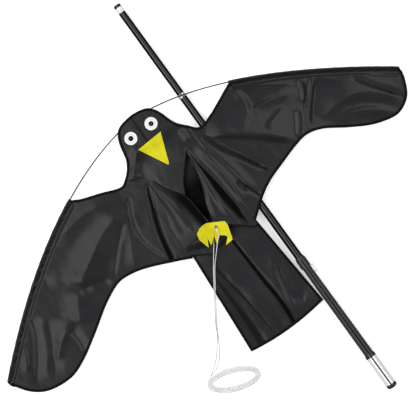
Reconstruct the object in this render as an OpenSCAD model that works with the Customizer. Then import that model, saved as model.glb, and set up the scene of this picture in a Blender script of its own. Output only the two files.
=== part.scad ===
// Bird scarer kite with its telescopic pole, lying on the ground as packed for use.
// Millimetres. +Z is up, +Y runs along the pole towards its tip, X runs across the wings.
// The origin is on the ground, half way along the pole and half way between the wing tips.

/* [Pole] */
// Length of the closed pole, foot to tip
pole_len = 1226; // [1100:1:1400]
// Distance of the pole from the middle line of the kite
pole_off = 131; // [125:1:145]
// Diameter of the outer section at its mouth
outer_mouth_d = 18.8; // [17:0.1:22]
// Diameter of the outer section at its butt
outer_butt_d = 22.8; // [21:0.1:25]
// Wall of the outer section
outer_wall = 1.2; // [0.8:0.1:2]
// Wall of the inner sections
inner_wall = 0.9; // [0.6:0.1:1.2]
// How much each inner section narrows from butt to mouth
inner_narrowing = 3; // [2:0.1:3.5]

/* [Handle] */
// Diameter of the foot sleeve
foot_d = 27.8; // [26.5:0.1:32]
// Length of the foot sleeve
foot_len = 86; // [60:1:120]
// Height of the rounded foot plug below the sleeve
plug_head = 11; // [6:0.5:20]
// Length of the plug's spigot in the sleeve
plug_spigot = 20; // [10:0.5:30]
// Largest diameter of the flared ring above the sleeve
flare_d = 29.2; // [28:0.1:34]
// Length of the flared ring
flare_len = 11; // [6:0.5:20]
// Length of the grip
grip_len = 276; // [200:1:340]
// Diameter of the grip at its top
grip_top_d = 23.2; // [22.6:0.1:26]
// Diameter of the grip at its bottom
grip_bottom_d = 24.9; // [24.2:0.1:27]
// Length of the collar above the grip
collar_len = 34; // [20:0.5:50]
// Diameter of the collar at its foot
collar_d = 27.4; // [25.5:0.1:32]
// Height of the collar's sloping top
collar_slope = 9; // [4:0.5:14]
// Thickness of the cushion under the inner sections
cushion_t = 6; // [3:0.5:12]

/* [Tip] */
// Length of the bright band at the mouth
band_len = 15.5; // [8:0.5:25]
// Diameter of the band
band_d = 20.2; // [20:0.1:24]
// Height of the tip knob
knob_h = 8.4; // [7:0.1:14]
// Diameter of the tip knob
knob_d = 19.6; // [18:0.1:24]

/* [Line keeper] */
// Length of the keeper's pad along the grip
keeper_len = 24; // [18:0.5:36]
// Thickness of the pad
keeper_pad_t = 1.4; // [1:0.1:3]
// Width of the pad
keeper_w = 9; // [7:0.5:14]
// Clear height under the keeper's bar
keeper_gap = 4.8; // [4.5:0.1:8]
// Thickness of the keeper's bar
keeper_bar_d = 2.4; // [1.6:0.1:4]

/* [Rod and clip] */
// Diameter of the bow rod
rod_d = 3.5; // [3:0.1:6]
// Height of the bow above the pole's middle
bow_top = 346; // [330:1:400]
// Drop of the bow from its top to the left wing tip
left_drop = 362; // [320:1:400]
// Drop of the bow from its top to the right wing tip
right_drop = 294; // [260:1:340]
// Outer diameter of the rod joiner behind the head
joiner_d = 6; // [5:0.1:9]
// Length of the rod joiner
joiner_len = 70; // [40:1:100]
// Diameter of the clip's ring on the pole
clip_d = 26.5; // [24.5:0.1:32]
// Length of the clip along the pole
clip_len = 10; // [6:0.5:16]
// Width of the clip's saddle along the rod
saddle_w = 13; // [8:0.5:20]

/* [Sail] */
// Reach of the left wing from the kite's middle line
left_reach = 679; // [640:1:720]
// Reach of the right wing from the kite's middle line
right_reach = 635; // [600:1:680]
// Distance from the middle line to the neck and the wing seams
seam_off = 94; // [85:1:105]
// Height of the neck above the pole's middle
neck_y = 246; // [235:1:255]
// Height of the top of the head
head_y = 352; // [350:1:380]
// Distance of the tail seam below the pole's middle
notch_y = 44; // [30:1:60]
// Distance of the tail end below the pole's middle
tail_y = 319; // [290:1:360]
// Half width of the tail at its seam
tail_top_half_w = 88; // [80:1:90]
// Half width of the tail at its end
tail_half_w = 110; // [95:1:116]
// Distance of the tail to the right of the middle line
tail_off = 2; // [0:0.5:5]
// Bulge of the tail's end
tail_bulge = 9; // [0:0.5:16]
// Thickness of the cloth panels
cloth_t = 1.2; // [0.8:0.1:2]
// Width of the edge tape
tape_w = 5; // [3:0.5:8]
// Thickness of the edge tape
tape_t = 2; // [1.4:0.1:3]
// Width of the leading edge sleeves
sleeve_w = 17; // [12:0.5:24]
// Height of the leading edge sleeves
sleeve_h = 6.4; // [6:0.1:9]
// Distance from the rod to the middle of its sleeve, which hangs inwards from it
sleeve_in = 4.5; // [3:0.5:5]
// Distance from the middle line to the sleeves' inner ends
sleeve_start = 256; // [230:1:290]
// Reach of the rise of the cloth on each side of the pole
rise_reach = 400; // [360:1:440]

/* [Keel, face and claws] */
// Height of the keel over the body panel
keel_h = 26; // [16:1:40]
// Depth of the folds in the keel and the tail
fold_h = 4; // [1:0.5:6]
// Diameter of the eye discs
eye_d = 34; // [26:0.5:40]
// Diameter of the pupils
pupil_d = 13; // [8:0.5:18]
// Distance of the face to the left of the middle line
face_off = 9.5; // [0:0.5:12]
// Distance between the eyes
eye_gap = 65; // [50:1:75]
// Height of the eyes above the pole's middle
eye_y = 309; // [300:1:318]
// Width of the beak
beak_w = 74; // [50:1:90]
// Length of the beak
beak_l = 78; // [60:1:90]
// Height of the beak's crease
beak_h = 5; // [2:0.5:10]
// Thickness of the sewn patches
patch_t = 0.8; // [0.6:0.1:1.5]
// Width of the claws
claw_w = 78; // [60:1:90]
// Length of the claws
claw_l = 66; // [50:1:80]
// Turn of the claws on the kite
claw_turn = -36; // [-45:1:0]
// Outer diameter of the eyelet
eyelet_d = 9.4; // [9:0.1:14]
// Diameter of the eyelet's hole
eyelet_hole_d = 4.4; // [4:0.1:5]
// Diameter of the tip rivets
rivet_d = 9; // [6:0.5:12]

/* [Line] */
// Diameter of the line
line_d = 2.2; // [1.6:0.1:2.4]
// Loops in each strand's coil
line_loops = 5; // [2:1:6]
// Step from loop to loop in the coil
line_pitch = 3.1; // [3.1:0.05:3.6]
// Length of the coil's outer loop, middle to middle
coil_l = 144; // [120:1:160]
// Width of the coil's outer loop, middle to middle
coil_w = 66; // [60:1:90]

/* [Hidden] */
$fn = 64;

// Clearances: glued fits, sliding fits, and cloth or loose pieces, and the overrun of cuts
bond_gap = 0.05;
slide_gap = 0.15;
soft_gap = 0.3;
over = 1;

// Small sizes of the pole's own pieces
jam = 0.1;
mouth_recess = 2;
knob_socket = 4.6;
knob_round = 3;
plug_round = 5;
flare_lip = 3;
sleeve_chamfer = 0.8;
collar_top_lip = 0.6;
end_cap_len = 4;
end_cap_wall = 0.7;

// Places along the pole, from the foot
sleeve_at = plug_head;
flare_at = sleeve_at + foot_len;
grip_at = flare_at + flare_len;
collar_at = grip_at + grip_len;
outer_at = plug_head + plug_spigot;
mouth_at = pole_len - knob_h - soft_gap;
inner_at = outer_at + cushion_t + soft_gap;
outer_len = mouth_at - outer_at;
inner_len = mouth_at - mouth_recess - inner_at;
outer_slope = (outer_butt_d - outer_mouth_d) / outer_len;
pole_z = flare_d / 2;
axis_x = (left_reach - right_reach) / 2;

// Each inner section's butt is a little wider than the mouth that it jams in when drawn out
second_butt_d = outer_mouth_d - 2 * outer_wall + jam;
second_mouth_d = second_butt_d - inner_narrowing;
third_butt_d = second_mouth_d - 2 * inner_wall + jam;
third_mouth_d = third_butt_d - inner_narrowing;
tip_butt_d = third_mouth_d - 2 * inner_wall + jam;
tip_mouth_d = tip_butt_d - inner_narrowing;

// Shape of the bow: how fast each side falls away from the top
left_bow_power = 1.75;
right_bow_power = 1.6;
left_rod_end = left_reach - sleeve_w / 2 * sin(atan(left_drop * left_bow_power / left_reach));
right_rod_end = right_reach - sleeve_w / 2 * sin(atan(right_drop * right_bow_power / right_reach));
rod_sides = 8;
rod_rings = 32;

// Height of the cloth over the ground: it rises over the pole and sinks again along the tail
crest = pole_z + (clip_d + rod_d - sleeve_h) / 2 + soft_gap;
tail_lay_share = 0.06;
head_rise = sleeve_h / 2 + joiner_d / 2 + 2 * soft_gap;
head_rise_at = bow_top - joiner_len;

// Trailing edges from the seam to the wing tip, as shares of the wing's reach and of its depth
wing_depth = neck_y + notch_y;
left_trail_shares = [[0.138, -0.11], [0.19, -0.05], [0.295, 0.055], [0.365, 0.1], [0.43, 0.1],
    [0.515, 0.01], [0.62, -0.15], [0.715, -0.28], [0.79, -0.338], [0.88, -0.315], [0.94, -0.225],
    [0.985, -0.075]];
right_trail_shares = [[0.148, -0.14], [0.235, -0.02], [0.3, 0.055], [0.375, 0.11], [0.465, 0.17],
    [0.53, 0.19], [0.6, 0.145], [0.685, 0.025], [0.77, -0.08], [0.85, -0.135], [0.9, -0.13],
    [0.95, -0.06], [0.98, 0.065], [0.99, 0.15]];
// Shoulders between the neck and the sleeves, as shares of the way out and of the neck's height
left_shoulder_shares = [[0, 0.98], [0.12, 0.93], [0.28, 0.885], [0.6, 0.962], [0.9, 1.03], [1, 1.065]];
right_shoulder_shares = [[0, 0.985], [0.1, 0.925], [0.22, 0.907], [0.42, 0.95], [0.52, 0.976], [0.92, 1.1],
    [1, 1.062]];
// Head outlines from the top down to the neck, as shares of the seam's offset and the head's height
left_head_shares = [[0.1, 1], [0.36, 0.97], [0.56, 0.9], [0.68, 0.76], [0.75, 0.6], [0.8, 0.4], [0.86, 0.2],
    [1, 0]];
right_head_shares = [[-0.06, 1], [0.2, 0.97], [0.4, 0.9], [0.53, 0.76], [0.61, 0.6], [0.68, 0.4], [0.79, 0.2],
    [1, 0]];
wing_steps = 36;
wing_rows = 6;
head_steps = 14;
body_steps = 12;
body_rows = 10;
tail_steps = 14;
tail_rows = 16;
keel_steps = 20;
keel_rows = 8;
patch_rings = 2;
patch_sides = 24;

// Keel: free edge from the shoulder to the claws, as shares of the seam's offset and the keel's length
keel_top_y = 200;
keel_foot_y = 4;
left_keel_edge_shares = [[0.76, 0], [0.47, 0.3], [0.14, 0.56], [0.08, 0.78], [0.04, 1]];
right_keel_edge_shares = [[0.62, 0], [0.42, 0.45], [0.17, 0.77], [0.03, 1]];
keel_bow_power = 1.5;
// Outer seams of the keel: both ends as shares of the seam's offset, and the foot's share of the notch
left_keel_seam_shares = [0.8, 1.28, 0.15];
right_keel_seam_shares = [0.68, 0.9, 0.84];
fold_count = 3;
tail_crease_shares = [-0.5, 0.08];
tail_crease_w = 26;

// Claws, as shares of their width and length from the eyelet, and their places on the keel
front_claw_shares = [[-0.33, 0.15], [0.28, 0.24], [0.39, 0.09], [0.55, -0.48], [0.33, -0.7], [0.38, -0.36],
    [0.13, -0.31], [0.03, -0.67], [-0.06, -0.33], [-0.15, -0.71], [-0.28, -0.38], [-0.4, -0.01]];
back_claw_shares = [[0.15, 0.18], [-0.32, 0.16], [-0.45, 0.06], [-0.55, -0.06], [-0.63, -0.26], [-0.55, -0.5],
    [-0.23, -0.8], [-0.28, -0.4], [-0.1, -0.22], [0.15, -0.15]];
claw_t = 1.6;
eyelet_off = 2;
eyelet_drop = 6;
eyelet_lip = 0.8;
eyelet_barrel_wall = 0.7;
rivet_h = 2.2;
rivet_inset = 26;

// The line's route from the eyelet to the coil, chosen by hand, and the strands' distance apart
front_route = [[2, -6, 51.2], [2, -6, 57], [1, -9, 61], [-1, -14, 62], [-2, -19, 59.5], [-4, -24, 56.5],
    [-8, -30, 55], [-18, -40, 54.6], [-28, -51, 53], [-38, -62, 44], [-47, -72, 32], [-56, -82, 22],
    [-66, -95, 17.4], [-80, -115, 15], [-95, -137, 13.6], [-110, -160, 9], [-125, -182, 4.5],
    [-142, -208, 1.8], [-160, -240, 1.2], [-177, -268, 1.1], [-196, -293, 1.1], [-219, -309, 1.1],
    [-240, -315.4, 1.1]];
back_route = [[2, -6, 50.8], [2, -6, 46], [0, -8, 42], [-5, -12, 39.5], [-12, -17, 37.5], [-18, -23, 36],
    [-25, -34, 33], [-34, -46, 29], [-43, -58, 25], [-52, -70, 21], [-61, -82, 18.4], [-71, -96, 17],
    [-85, -117, 15], [-100, -139, 13.6], [-115, -162, 9], [-130, -184, 4.5], [-147, -210, 1.8],
    [-160, -235, 1.2], [-180, -262, 1.1], [-200, -285, 1.5], [-222, -303, 2.9], [-240, -315.2, 4]];
line_ref = [0.77, -0.64, 0];
coil_at = [-192, -356];
coil_turn = -22;
coil_start = 160;
loop_rings = 24;
loop_sides = 6;
line_sides = 8;

function mix(a, b, f) = a + (b - a) * f;
function smooth(f) = let (c = min(1, max(0, f))) c * c * (3 - 2 * c);
function unit(v) = v / norm(v);

// A point on a smooth curve through the points p, between point i and the next
function between(p, i, f) = let (
        n = len(p) - 1,
        a = p[max(0, i - 1)],
        b = p[i],
        c = p[min(n, i + 1)],
        d = p[min(n, i + 2)])
    (2 * b + (c - a) * f + (2 * a - 5 * b + 4 * c - d) * f * f
        + (3 * b - a - 3 * c + d) * f * f * f) / 2;
function curve(p, n) = [for (k = [0 : n])
    let (s = k / n * (len(p) - 1), i = min(floor(s), len(p) - 2)) between(p, i, s - i)];

// The bow rod seen from above, and its slope
function bow_y(x) = x < 0
    ? bow_top - left_drop * pow(-x / left_rod_end, left_bow_power)
    : bow_top - right_drop * pow(x / right_rod_end, right_bow_power);
function bow_slope(x) = bow_y(x + over / 2) - bow_y(x - over / 2);
function bow_stretch(x) = sqrt(1 + pow(bow_slope(x) / over, 2));

// Height of the cloth's underside
function rise(x) = let (d = abs(x - pole_off) / rise_reach) d < 1 ? pow(cos(90 * d), 2) : 0;
function lay(x, y) = crest * rise(x)
    * mix(tail_lay_share, 1, smooth((y + tail_y) / (tail_y - notch_y)));
function body_lay(x, y) = lay(x, y) + head_rise * smooth((y - neck_y) / (head_rise_at - neck_y));
function rod_point(x) = [x, bow_y(x), lay(x, bow_y(x)) + sleeve_h / 2];
function rod_path(x0, x1) = [for (k = [0 : rod_rings]) rod_point(mix(x0, x1, k / rod_rings))];

// A closed sheet on a grid of underside points, t thick
module sheet(rows, t) {
    m = len(rows);
    n = len(rows[0]);
    low = [for (r = rows) each r];
    points = concat(low, [for (p = low) p + [0, 0, t]]);
    rim = concat([for (j = [0 : n - 1]) j], [for (i = [1 : m - 1]) i * n + n - 1],
        [for (j = [n - 2 : -1 : 0]) (m - 1) * n + j], [for (i = [m - 2 : -1 : 1]) i * n]);
    faces = concat(
        [for (i = [0 : m - 2], j = [0 : n - 2]) let (a = i * n + j)
            each [[a, a + 1, a + n], [a + 1, a + n + 1, a + n]]],
        [for (i = [0 : m - 2], j = [0 : n - 2]) let (a = m * n + i * n + j)
            each [[a, a + n, a + 1], [a + 1, a + n, a + n + 1]]],
        [for (k = [0 : len(rim) - 1]) let (a = rim[k], b = rim[(k + 1) % len(rim)])
            each [[a, a + m * n, b], [b, a + m * n, b + m * n]]]);
    polyhedron(points, faces);
}

// Rings of a section carried along a path, kept upright by a reference direction
function rings(path, section, ref) = [for (i = [0 : len(path) - 1])
    let (
        t = unit(path[min(i + 1, len(path) - 1)] - path[max(i - 1, 0)]),
        v = unit(ref - (ref * t) * t),
        w = cross(t, v))
    [for (s = section) path[i] + s[0] * v + s[1] * w]];
function ellipse(a, b, sides) = [for (k = [0 : sides - 1])
    [a * cos(360 * k / sides), b * sin(360 * k / sides)]];

// A solid bar along a path
module sweep(path, section, ref = [0, 0, 1]) {
    n = len(section);
    m = len(path);
    points = [for (r = rings(path, section, ref)) each r];
    faces = concat(
        [for (i = [0 : m - 2], k = [0 : n - 1]) let (a = i * n + k, b = i * n + (k + 1) % n)
            each [[a, a + n, b], [b, a + n, b + n]]],
        [for (k = [1 : n - 2]) [0, k, k + 1]],
        [for (k = [1 : n - 2]) let (e = (m - 1) * n) [e, e + k + 1, e + k]]);
    polyhedron(points, faces);
}

// A hollow bar along a path: the outer and inner sections have as many points
module hose(path, outer, inner, ref = [0, 0, 1]) {
    n = len(outer);
    m = len(path);
    points = concat([for (r = rings(path, outer, ref)) each r], [for (r = rings(path, inner, ref)) each r]);
    core = m * n;
    last = (m - 1) * n;
    faces = concat(
        [for (i = [0 : m - 2], k = [0 : n - 1]) let (a = i * n + k, b = i * n + (k + 1) % n)
            each [[a, a + n, b], [b, a + n, b + n],
                [core + a, core + b, core + a + n], [core + b, core + b + n, core + a + n]]],
        [for (k = [0 : n - 1]) let (a = k, b = (k + 1) % n)
            each [[a, b, core + a], [b, core + b, core + a],
                [last + a, core + last + a, last + b], [last + b, core + last + a, core + last + b]]]);
    polyhedron(points, faces);
}

// Flat tape beside an edge that is listed with the cloth on its right-hand side
module edge_tape(edge) {
    n = len(edge) - 1;
    path = [for (i = [0 : n])
        let (
            t = edge[min(i + 1, n)] - edge[max(i - 1, 0)],
            side = unit([-t[1], t[0], 0]))
        edge[i] + side * (tape_w / 2 + soft_gap) + [0, 0, tape_t / 2]];
    sweep(path, [[-tape_t / 2, -tape_w / 2], [tape_t / 2, -tape_w / 2], [tape_t / 2, tape_w / 2],
        [-tape_t / 2, tape_w / 2]]);
}

// Places a piece made along Z on the pole, at a distance from the foot
module on_pole(at) {
    translate([axis_x + pole_off, at - pole_len / 2, pole_z]) rotate([-90, 0, 0]) children();
}
module on_kite() {
    translate([axis_x, 0, 0]) children();
}
// A round piece with a wall, tapered from one end to the other
module tapered_tube(h, d0, d1, bore0, bore1) {
    rotate_extrude() polygon([[bore0 / 2, 0], [d0 / 2, 0], [d1 / 2, h], [bore1 / 2, h]]);
}
function outer_d(at) = outer_mouth_d + outer_slope * (mouth_at - at);

module butt_plug() {
    color("black") on_pole(0) {
        rotate_extrude() intersection() {
            union() {
                translate([0, plug_round]) square([foot_d / 2, plug_head - plug_round]);
                square([foot_d / 2 - plug_round, plug_head]);
                translate([foot_d / 2 - plug_round, plug_round]) circle(plug_round);
            }
            square([foot_d / 2, plug_head]);
        }
        translate([0, 0, plug_head])
            cylinder(h = plug_spigot - soft_gap, d = outer_butt_d);
    }
}
module butt_cushion() {
    color("dimgray") on_pole(outer_at)
        cylinder(h = cushion_t, d = outer_butt_d - 2 * outer_wall - cushion_t * outer_slope - 2 * bond_gap);
}
module butt_sleeve() {
    color("silver") on_pole(sleeve_at) difference() {
        rotate_extrude() polygon([[0, 0], [foot_d / 2 - sleeve_chamfer, 0], [foot_d / 2, sleeve_chamfer],
            [foot_d / 2, foot_len], [0, foot_len]]);
        translate([0, 0, -over]) cylinder(h = foot_len + 2 * over, d = outer_butt_d + 2 * bond_gap);
    }
}
module flare_ring() {
    color("black") on_pole(flare_at) difference() {
        rotate_extrude() polygon([[0, 0], [flare_d / 2, 0], [flare_d / 2, flare_lip],
            [grip_bottom_d / 2, flare_len], [0, flare_len]]);
        translate([0, 0, -over]) cylinder(h = flare_len + 2 * over, d = outer_butt_d + 2 * bond_gap);
    }
}
module grip_sleeve() {
    color("#26272a") on_pole(grip_at) tapered_tube(grip_len, grip_bottom_d, grip_top_d,
        outer_d(grip_at) + 2 * bond_gap, outer_d(grip_at + grip_len) + 2 * bond_gap);
}
module grip_collar() {
    color("black") on_pole(collar_at) difference() {
        rotate_extrude() polygon([[0, 0], [collar_d / 2, 0], [collar_d / 2, collar_len - collar_slope],
            [outer_d(collar_at) / 2 + collar_top_lip, collar_len], [0, collar_len]]);
        translate([0, 0, -over]) cylinder(h = collar_len + 2 * over, d = outer_d(collar_at) + 2 * bond_gap);
    }
}
module line_keeper() {
    pad_r = grip_top_d / 2 + keeper_len * (grip_bottom_d - grip_top_d) / grip_len / 2 + bond_gap;
    bar_x = pad_r + keeper_pad_t + keeper_gap + keeper_bar_d / 2;
    color("gainsboro") on_pole(collar_at - keeper_len) {
        intersection() {
            difference() {
                cylinder(h = keeper_len, r = pad_r + keeper_pad_t);
                translate([0, 0, -over]) cylinder(h = keeper_len + 2 * over, r = pad_r);
            }
            translate([0, -keeper_w / 2, 0]) cube([pad_r + keeper_pad_t, keeper_w, keeper_len]);
        }
        for (z = [keeper_bar_d, keeper_len - keeper_bar_d]) {
            translate([pad_r + keeper_pad_t / 2, 0, z]) rotate([0, 90, 0])
                cylinder(h = bar_x - pad_r - keeper_pad_t / 2, d = keeper_bar_d);
            translate([bar_x, 0, z]) sphere(d = keeper_bar_d);
        }
        translate([bar_x, 0, keeper_bar_d]) cylinder(h = keeper_len - 2 * keeper_bar_d, d = keeper_bar_d);
    }
}
module outer_section() {
    color("#1b1c1e") on_pole(outer_at) tapered_tube(outer_len, outer_butt_d, outer_mouth_d,
        outer_butt_d - 2 * outer_wall, outer_mouth_d - 2 * outer_wall);
}
module mouth_band() {
    color("silver") on_pole(mouth_at - band_len) tapered_tube(band_len, band_d, band_d,
        outer_d(mouth_at - band_len) + 2 * bond_gap, outer_mouth_d + 2 * bond_gap);
}
module inner_section(h, butt_d, mouth_d) {
    color("#3a3b3e") on_pole(inner_at) tapered_tube(h, butt_d, mouth_d, butt_d - 2 * inner_wall,
        mouth_d - 2 * inner_wall);
}
module second_section() {
    inner_section(inner_len, second_butt_d, second_mouth_d);
}
module third_section() {
    inner_section(inner_len, third_butt_d, third_mouth_d);
}
module tip_section() {
    inner_section(mouth_at + soft_gap + knob_socket - inner_at, tip_butt_d, tip_mouth_d);
}
module tip_knob() {
    color("black") on_pole(mouth_at + soft_gap) difference() {
        rotate_extrude() union() {
            square([knob_d / 2, knob_h - knob_round]);
            square([knob_d / 2 - knob_round, knob_h]);
            intersection() {
                translate([knob_d / 2 - knob_round, knob_h - knob_round]) circle(knob_round);
                square([knob_d / 2, knob_h]);
            }
        }
        translate([0, 0, -over])
            cylinder(h = knob_socket + over, d = tip_mouth_d + 2 * bond_gap
                + inner_narrowing * knob_socket / inner_len);
    }
}

// The ring runs on the pole and its saddle holds the bow rod across the pole
module rod_clip() {
    at = bow_y(pole_off) + pole_len / 2;
    bore = outer_d(at - clip_len / 2) + 2 * slide_gap;
    rod_up = rod_point(pole_off)[2] - pole_z;
    color("lightgray") difference() {
        union() {
            on_pole(at - clip_len / 2) cylinder(h = clip_len, d = clip_d);
            translate([axis_x + pole_off, bow_y(pole_off), pole_z]) rotate([0, 0, atan(bow_slope(pole_off) / over)])
                translate([-saddle_w / 2, -rod_d, 0]) cube([saddle_w, 2 * rod_d, rod_up + rod_d / 4]);
        }
        on_pole(at - clip_len / 2 - saddle_w) cylinder(h = clip_len + 2 * saddle_w, d = bore);
        translate([axis_x + pole_off, bow_y(pole_off), pole_z + rod_up])
            rotate([0, 90, atan(bow_slope(pole_off) / over)])
            cylinder(h = 2 * saddle_w, d = rod_d + 2 * soft_gap, center = true);
    }
}
module left_rod() {
    color("dimgray") on_kite() sweep(rod_path(-left_rod_end, -soft_gap / 2),
        ellipse(rod_d / 2, rod_d / 2, rod_sides));
}
module right_rod() {
    color("dimgray") on_kite() sweep(rod_path(soft_gap / 2, right_rod_end),
        ellipse(rod_d / 2, rod_d / 2, rod_sides));
}
module rod_joiner() {
    bore_r = rod_d / 2 + soft_gap;
    color("goldenrod") on_kite() hose(
        [for (k = [0 : rod_sides]) rod_point(mix(-joiner_len / 2, joiner_len / 2, k / rod_sides))],
        ellipse(joiner_d / 2, joiner_d / 2, rod_sides), ellipse(bore_r, bore_r, rod_sides));
}

// A cloth tube round the rod along each leading edge
module leading_sleeve(x0, x1) {
    bore_r = rod_d / 2 + soft_gap;
    on_kite() hose(rod_path(x0, x1),
        [for (p = ellipse(sleeve_h / 2, sleeve_w / 2, rod_sides)) p + [0, sleeve_in]],
        ellipse(bore_r, bore_r, rod_sides));
}
module left_sleeve() {
    color("#202124") leading_sleeve(-left_rod_end, -sleeve_start);
}
module right_sleeve() {
    color("#202124") leading_sleeve(sleeve_start, right_rod_end);
}
module rod_end_caps() {
    color("black") on_kite() for (x = [-left_rod_end, right_rod_end]) {
        p = rod_point(x);
        out = unit([sign(x) * over, sign(x) * bow_slope(x), 0]);
        sweep([p + out * soft_gap, p + out * end_cap_len], ellipse(rod_d / 2 + end_cap_wall,
            rod_d / 2 + end_cap_wall, rod_sides));
    }
}

// Wing panels lie between the shoulder and leading edge above and the trailing edge below
function wing_top(x) = let (
        out = abs(x),
        below_rod = sleeve_w / 2 + sleeve_in + soft_gap,
        edge = bow_y(x) - below_rod * bow_stretch(x))
    out >= sleeve_start ? edge
        : neck_y * lookup((out - seam_off) / (sleeve_start - seam_off),
            x < 0 ? left_shoulder_shares : right_shoulder_shares);
function trail_points(side) = side < 0
    ? [for (s = left_trail_shares) [s[0] * left_reach, s[1] * wing_depth]]
    : [for (s = right_trail_shares) [s[0] * right_reach, s[1] * wing_depth]];
function trail_curve(side) = curve(trail_points(side), wing_steps * 2);
function wing_xs(side) = let (
        trail = trail_points(side),
        x0 = seam_off + soft_gap,
        x1 = trail[len(trail) - 1][0])
    [for (k = [0 : wing_steps]) mix(x0, x1, k / wing_steps)];
function wing_grid(side) = let (trail = trail_curve(side))
    [for (x = wing_xs(side)) let (
            top = wing_top(side * x),
            low = min(lookup(x, trail), top - tape_w))
        [for (j = [0 : wing_rows]) let (y = mix(top, low, j / wing_rows))
            [side * x, y, lay(side * x, y)]]];
function turned(p) = [for (i = [len(p) - 1 : -1 : 0]) p[i]];

module left_wing() {
    color("#2b2c2f") on_kite() sheet(turned(wing_grid(-1)), cloth_t);
}
module right_wing() {
    color("#2b2c2f") on_kite() sheet(wing_grid(1), cloth_t);
}
module wing_tape(side) {
    grid = wing_grid(side);
    edge = [for (row = grid) row[wing_rows]];
    on_kite() edge_tape(side < 0 ? edge : turned(edge));
}
module left_wing_tape() {
    color("black") wing_tape(-1);
}
module right_wing_tape() {
    color("black") wing_tape(1);
}

// Head and body are one panel, and its rows run from the left side to the right
function head_curve(side, shares) = curve([for (s = shares)
    [side * s[0] * seam_off, mix(neck_y, head_y, s[1])]], head_steps);
function laid(p) = [p[0], p[1], body_lay(p[0], p[1])];
left_head = head_curve(-1, left_head_shares);
right_head = head_curve(1, right_head_shares);
body_ends = [for (k = [1 : body_steps]) [seam_off, mix(neck_y, -notch_y, k / body_steps)]];
left_body = concat(left_head, [for (p = body_ends) [-p[0], p[1]]]);
right_body = concat(right_head, body_ends);
body_grid = [for (i = [0 : len(left_body) - 1])
    [for (j = [0 : body_rows]) laid(mix(left_body[i], right_body[i], j / body_rows))]];
module body_panel() {
    color("#2b2c2f") on_kite() sheet(turned(body_grid), cloth_t);
}
// The head's tape runs on along both shoulders to the sleeves
function shoulder(side) = [for (row = wing_grid(side)) let (out = abs(row[0][0]))
    if (out > seam_off + tape_w && out < sleeve_start - 2 * tape_w) row[0]];
module head_tape() {
    edge = concat(turned(shoulder(-1)), [for (p = turned(left_head)) laid(p)],
        [for (p = right_head) laid(p)], shoulder(1));
    color("black") on_kite() edge_tape(edge);
}

// Tail panel: straight sides, a bulging end and two long creases
function crease(x, half, y) = let (
        way = smooth((-notch_y - y) / (tail_y - notch_y)))
    fold_h * way * max([for (s = tail_crease_shares)
        smooth(1 - abs(x - s * half) / tail_crease_w)]);
function tail_half(f) = mix(tail_top_half_w, tail_half_w, f);
function tail_point(f, g) = let (
        x = tail_off + mix(-tail_half(f), tail_half(f), g),
        y = mix(-notch_y - soft_gap, -tail_y, f) - tail_bulge * f * (1 - pow(2 * g - 1, 2)))
    [x, y, lay(x, y) + crease(x, tail_half(f), y)];
tail_grid = [for (k = [0 : tail_steps]) [for (j = [0 : tail_rows])
    tail_point(k / tail_steps, j / tail_rows)]];
module tail_panel() {
    color("#2b2c2f") on_kite() sheet(turned(tail_grid), cloth_t);
}
module tail_tape() {
    edge = concat([for (i = [1 : tail_steps]) tail_grid[i][tail_rows]],
        [for (j = [tail_rows - 1 : -1 : 1]) tail_grid[tail_steps][j]],
        [for (i = [tail_steps : -1 : 1]) tail_grid[i][0]]);
    color("black") on_kite() edge_tape(edge);
}

// Keel flaps: sewn to the body along their outer side and lifted along their free edge
function keel_edge(side) = curve([for (s = side < 0 ? left_keel_edge_shares : right_keel_edge_shares)
    [side * s[0] * seam_off, mix(keel_top_y, keel_foot_y, s[1])]], keel_steps);
function keel_point(side, edge, f, g) = let (
        ends = side < 0 ? left_keel_seam_shares : right_keel_seam_shares,
        seam = [side * mix(ends[0], ends[1], f) * seam_off, mix(keel_top_y, -ends[2] * notch_y, f)],
        p = mix(seam, edge, g),
        fold = fold_h * (1 - cos(360 * fold_count * g)) / 2 * sin(180 * f))
    [p[0], p[1], body_lay(p[0], p[1]) + cloth_t + soft_gap + keel_h * f * pow(g, keel_bow_power) + fold];
function keel_grid(side) = let (edge = keel_edge(side)) [for (k = [0 : keel_steps])
    [for (j = [0 : keel_rows]) keel_point(side, edge[k], k / keel_steps, j / keel_rows)]];
module left_keel() {
    color("#333437") on_kite() sheet(turned(keel_grid(-1)), cloth_t);
}
module right_keel() {
    color("#333437") on_kite() sheet(keel_grid(1), cloth_t);
}

// A round patch that follows the head
module round_patch(at, d, lift) {
    rim = [for (i = [1 : patch_rings], k = [0 : patch_sides - 1])
        at + [cos(360 * k / patch_sides), sin(360 * k / patch_sides)] * d / 2 * i / patch_rings];
    flat = concat([at], rim);
    low = [for (p = flat) [p[0], p[1], body_lay(p[0], p[1]) + lift]];
    n = len(low);
    function at_ring(i, k) = 1 + i * patch_sides + k % patch_sides;
    top_faces = concat(
        [for (k = [0 : patch_sides - 1]) [0, at_ring(0, k + 1), at_ring(0, k)]],
        [for (i = [0 : patch_rings - 2], k = [0 : patch_sides - 1])
            each [[at_ring(i, k), at_ring(i, k + 1), at_ring(i + 1, k)],
                [at_ring(i, k + 1), at_ring(i + 1, k + 1), at_ring(i + 1, k)]]]);
    side_faces = [for (k = [0 : patch_sides - 1])
        let (a = at_ring(patch_rings - 1, k), b = at_ring(patch_rings - 1, k + 1))
        each [[a, a + n, b], [b, a + n, b + n]]];
    polyhedron(concat(low, [for (p = low) p + [0, 0, patch_t]]),
        concat([for (f = top_faces) [f[0], f[2], f[1]]], [for (f = top_faces) [f[0] + n, f[1] + n, f[2] + n]],
            [for (f = side_faces) [f[0], f[2], f[1]]]));
}
eye_lift = cloth_t + soft_gap;
module eye_discs() {
    color("white") on_kite() for (s = [-1, 1]) round_patch([s * eye_gap / 2 - face_off, eye_y], eye_d, eye_lift);
}
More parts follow.
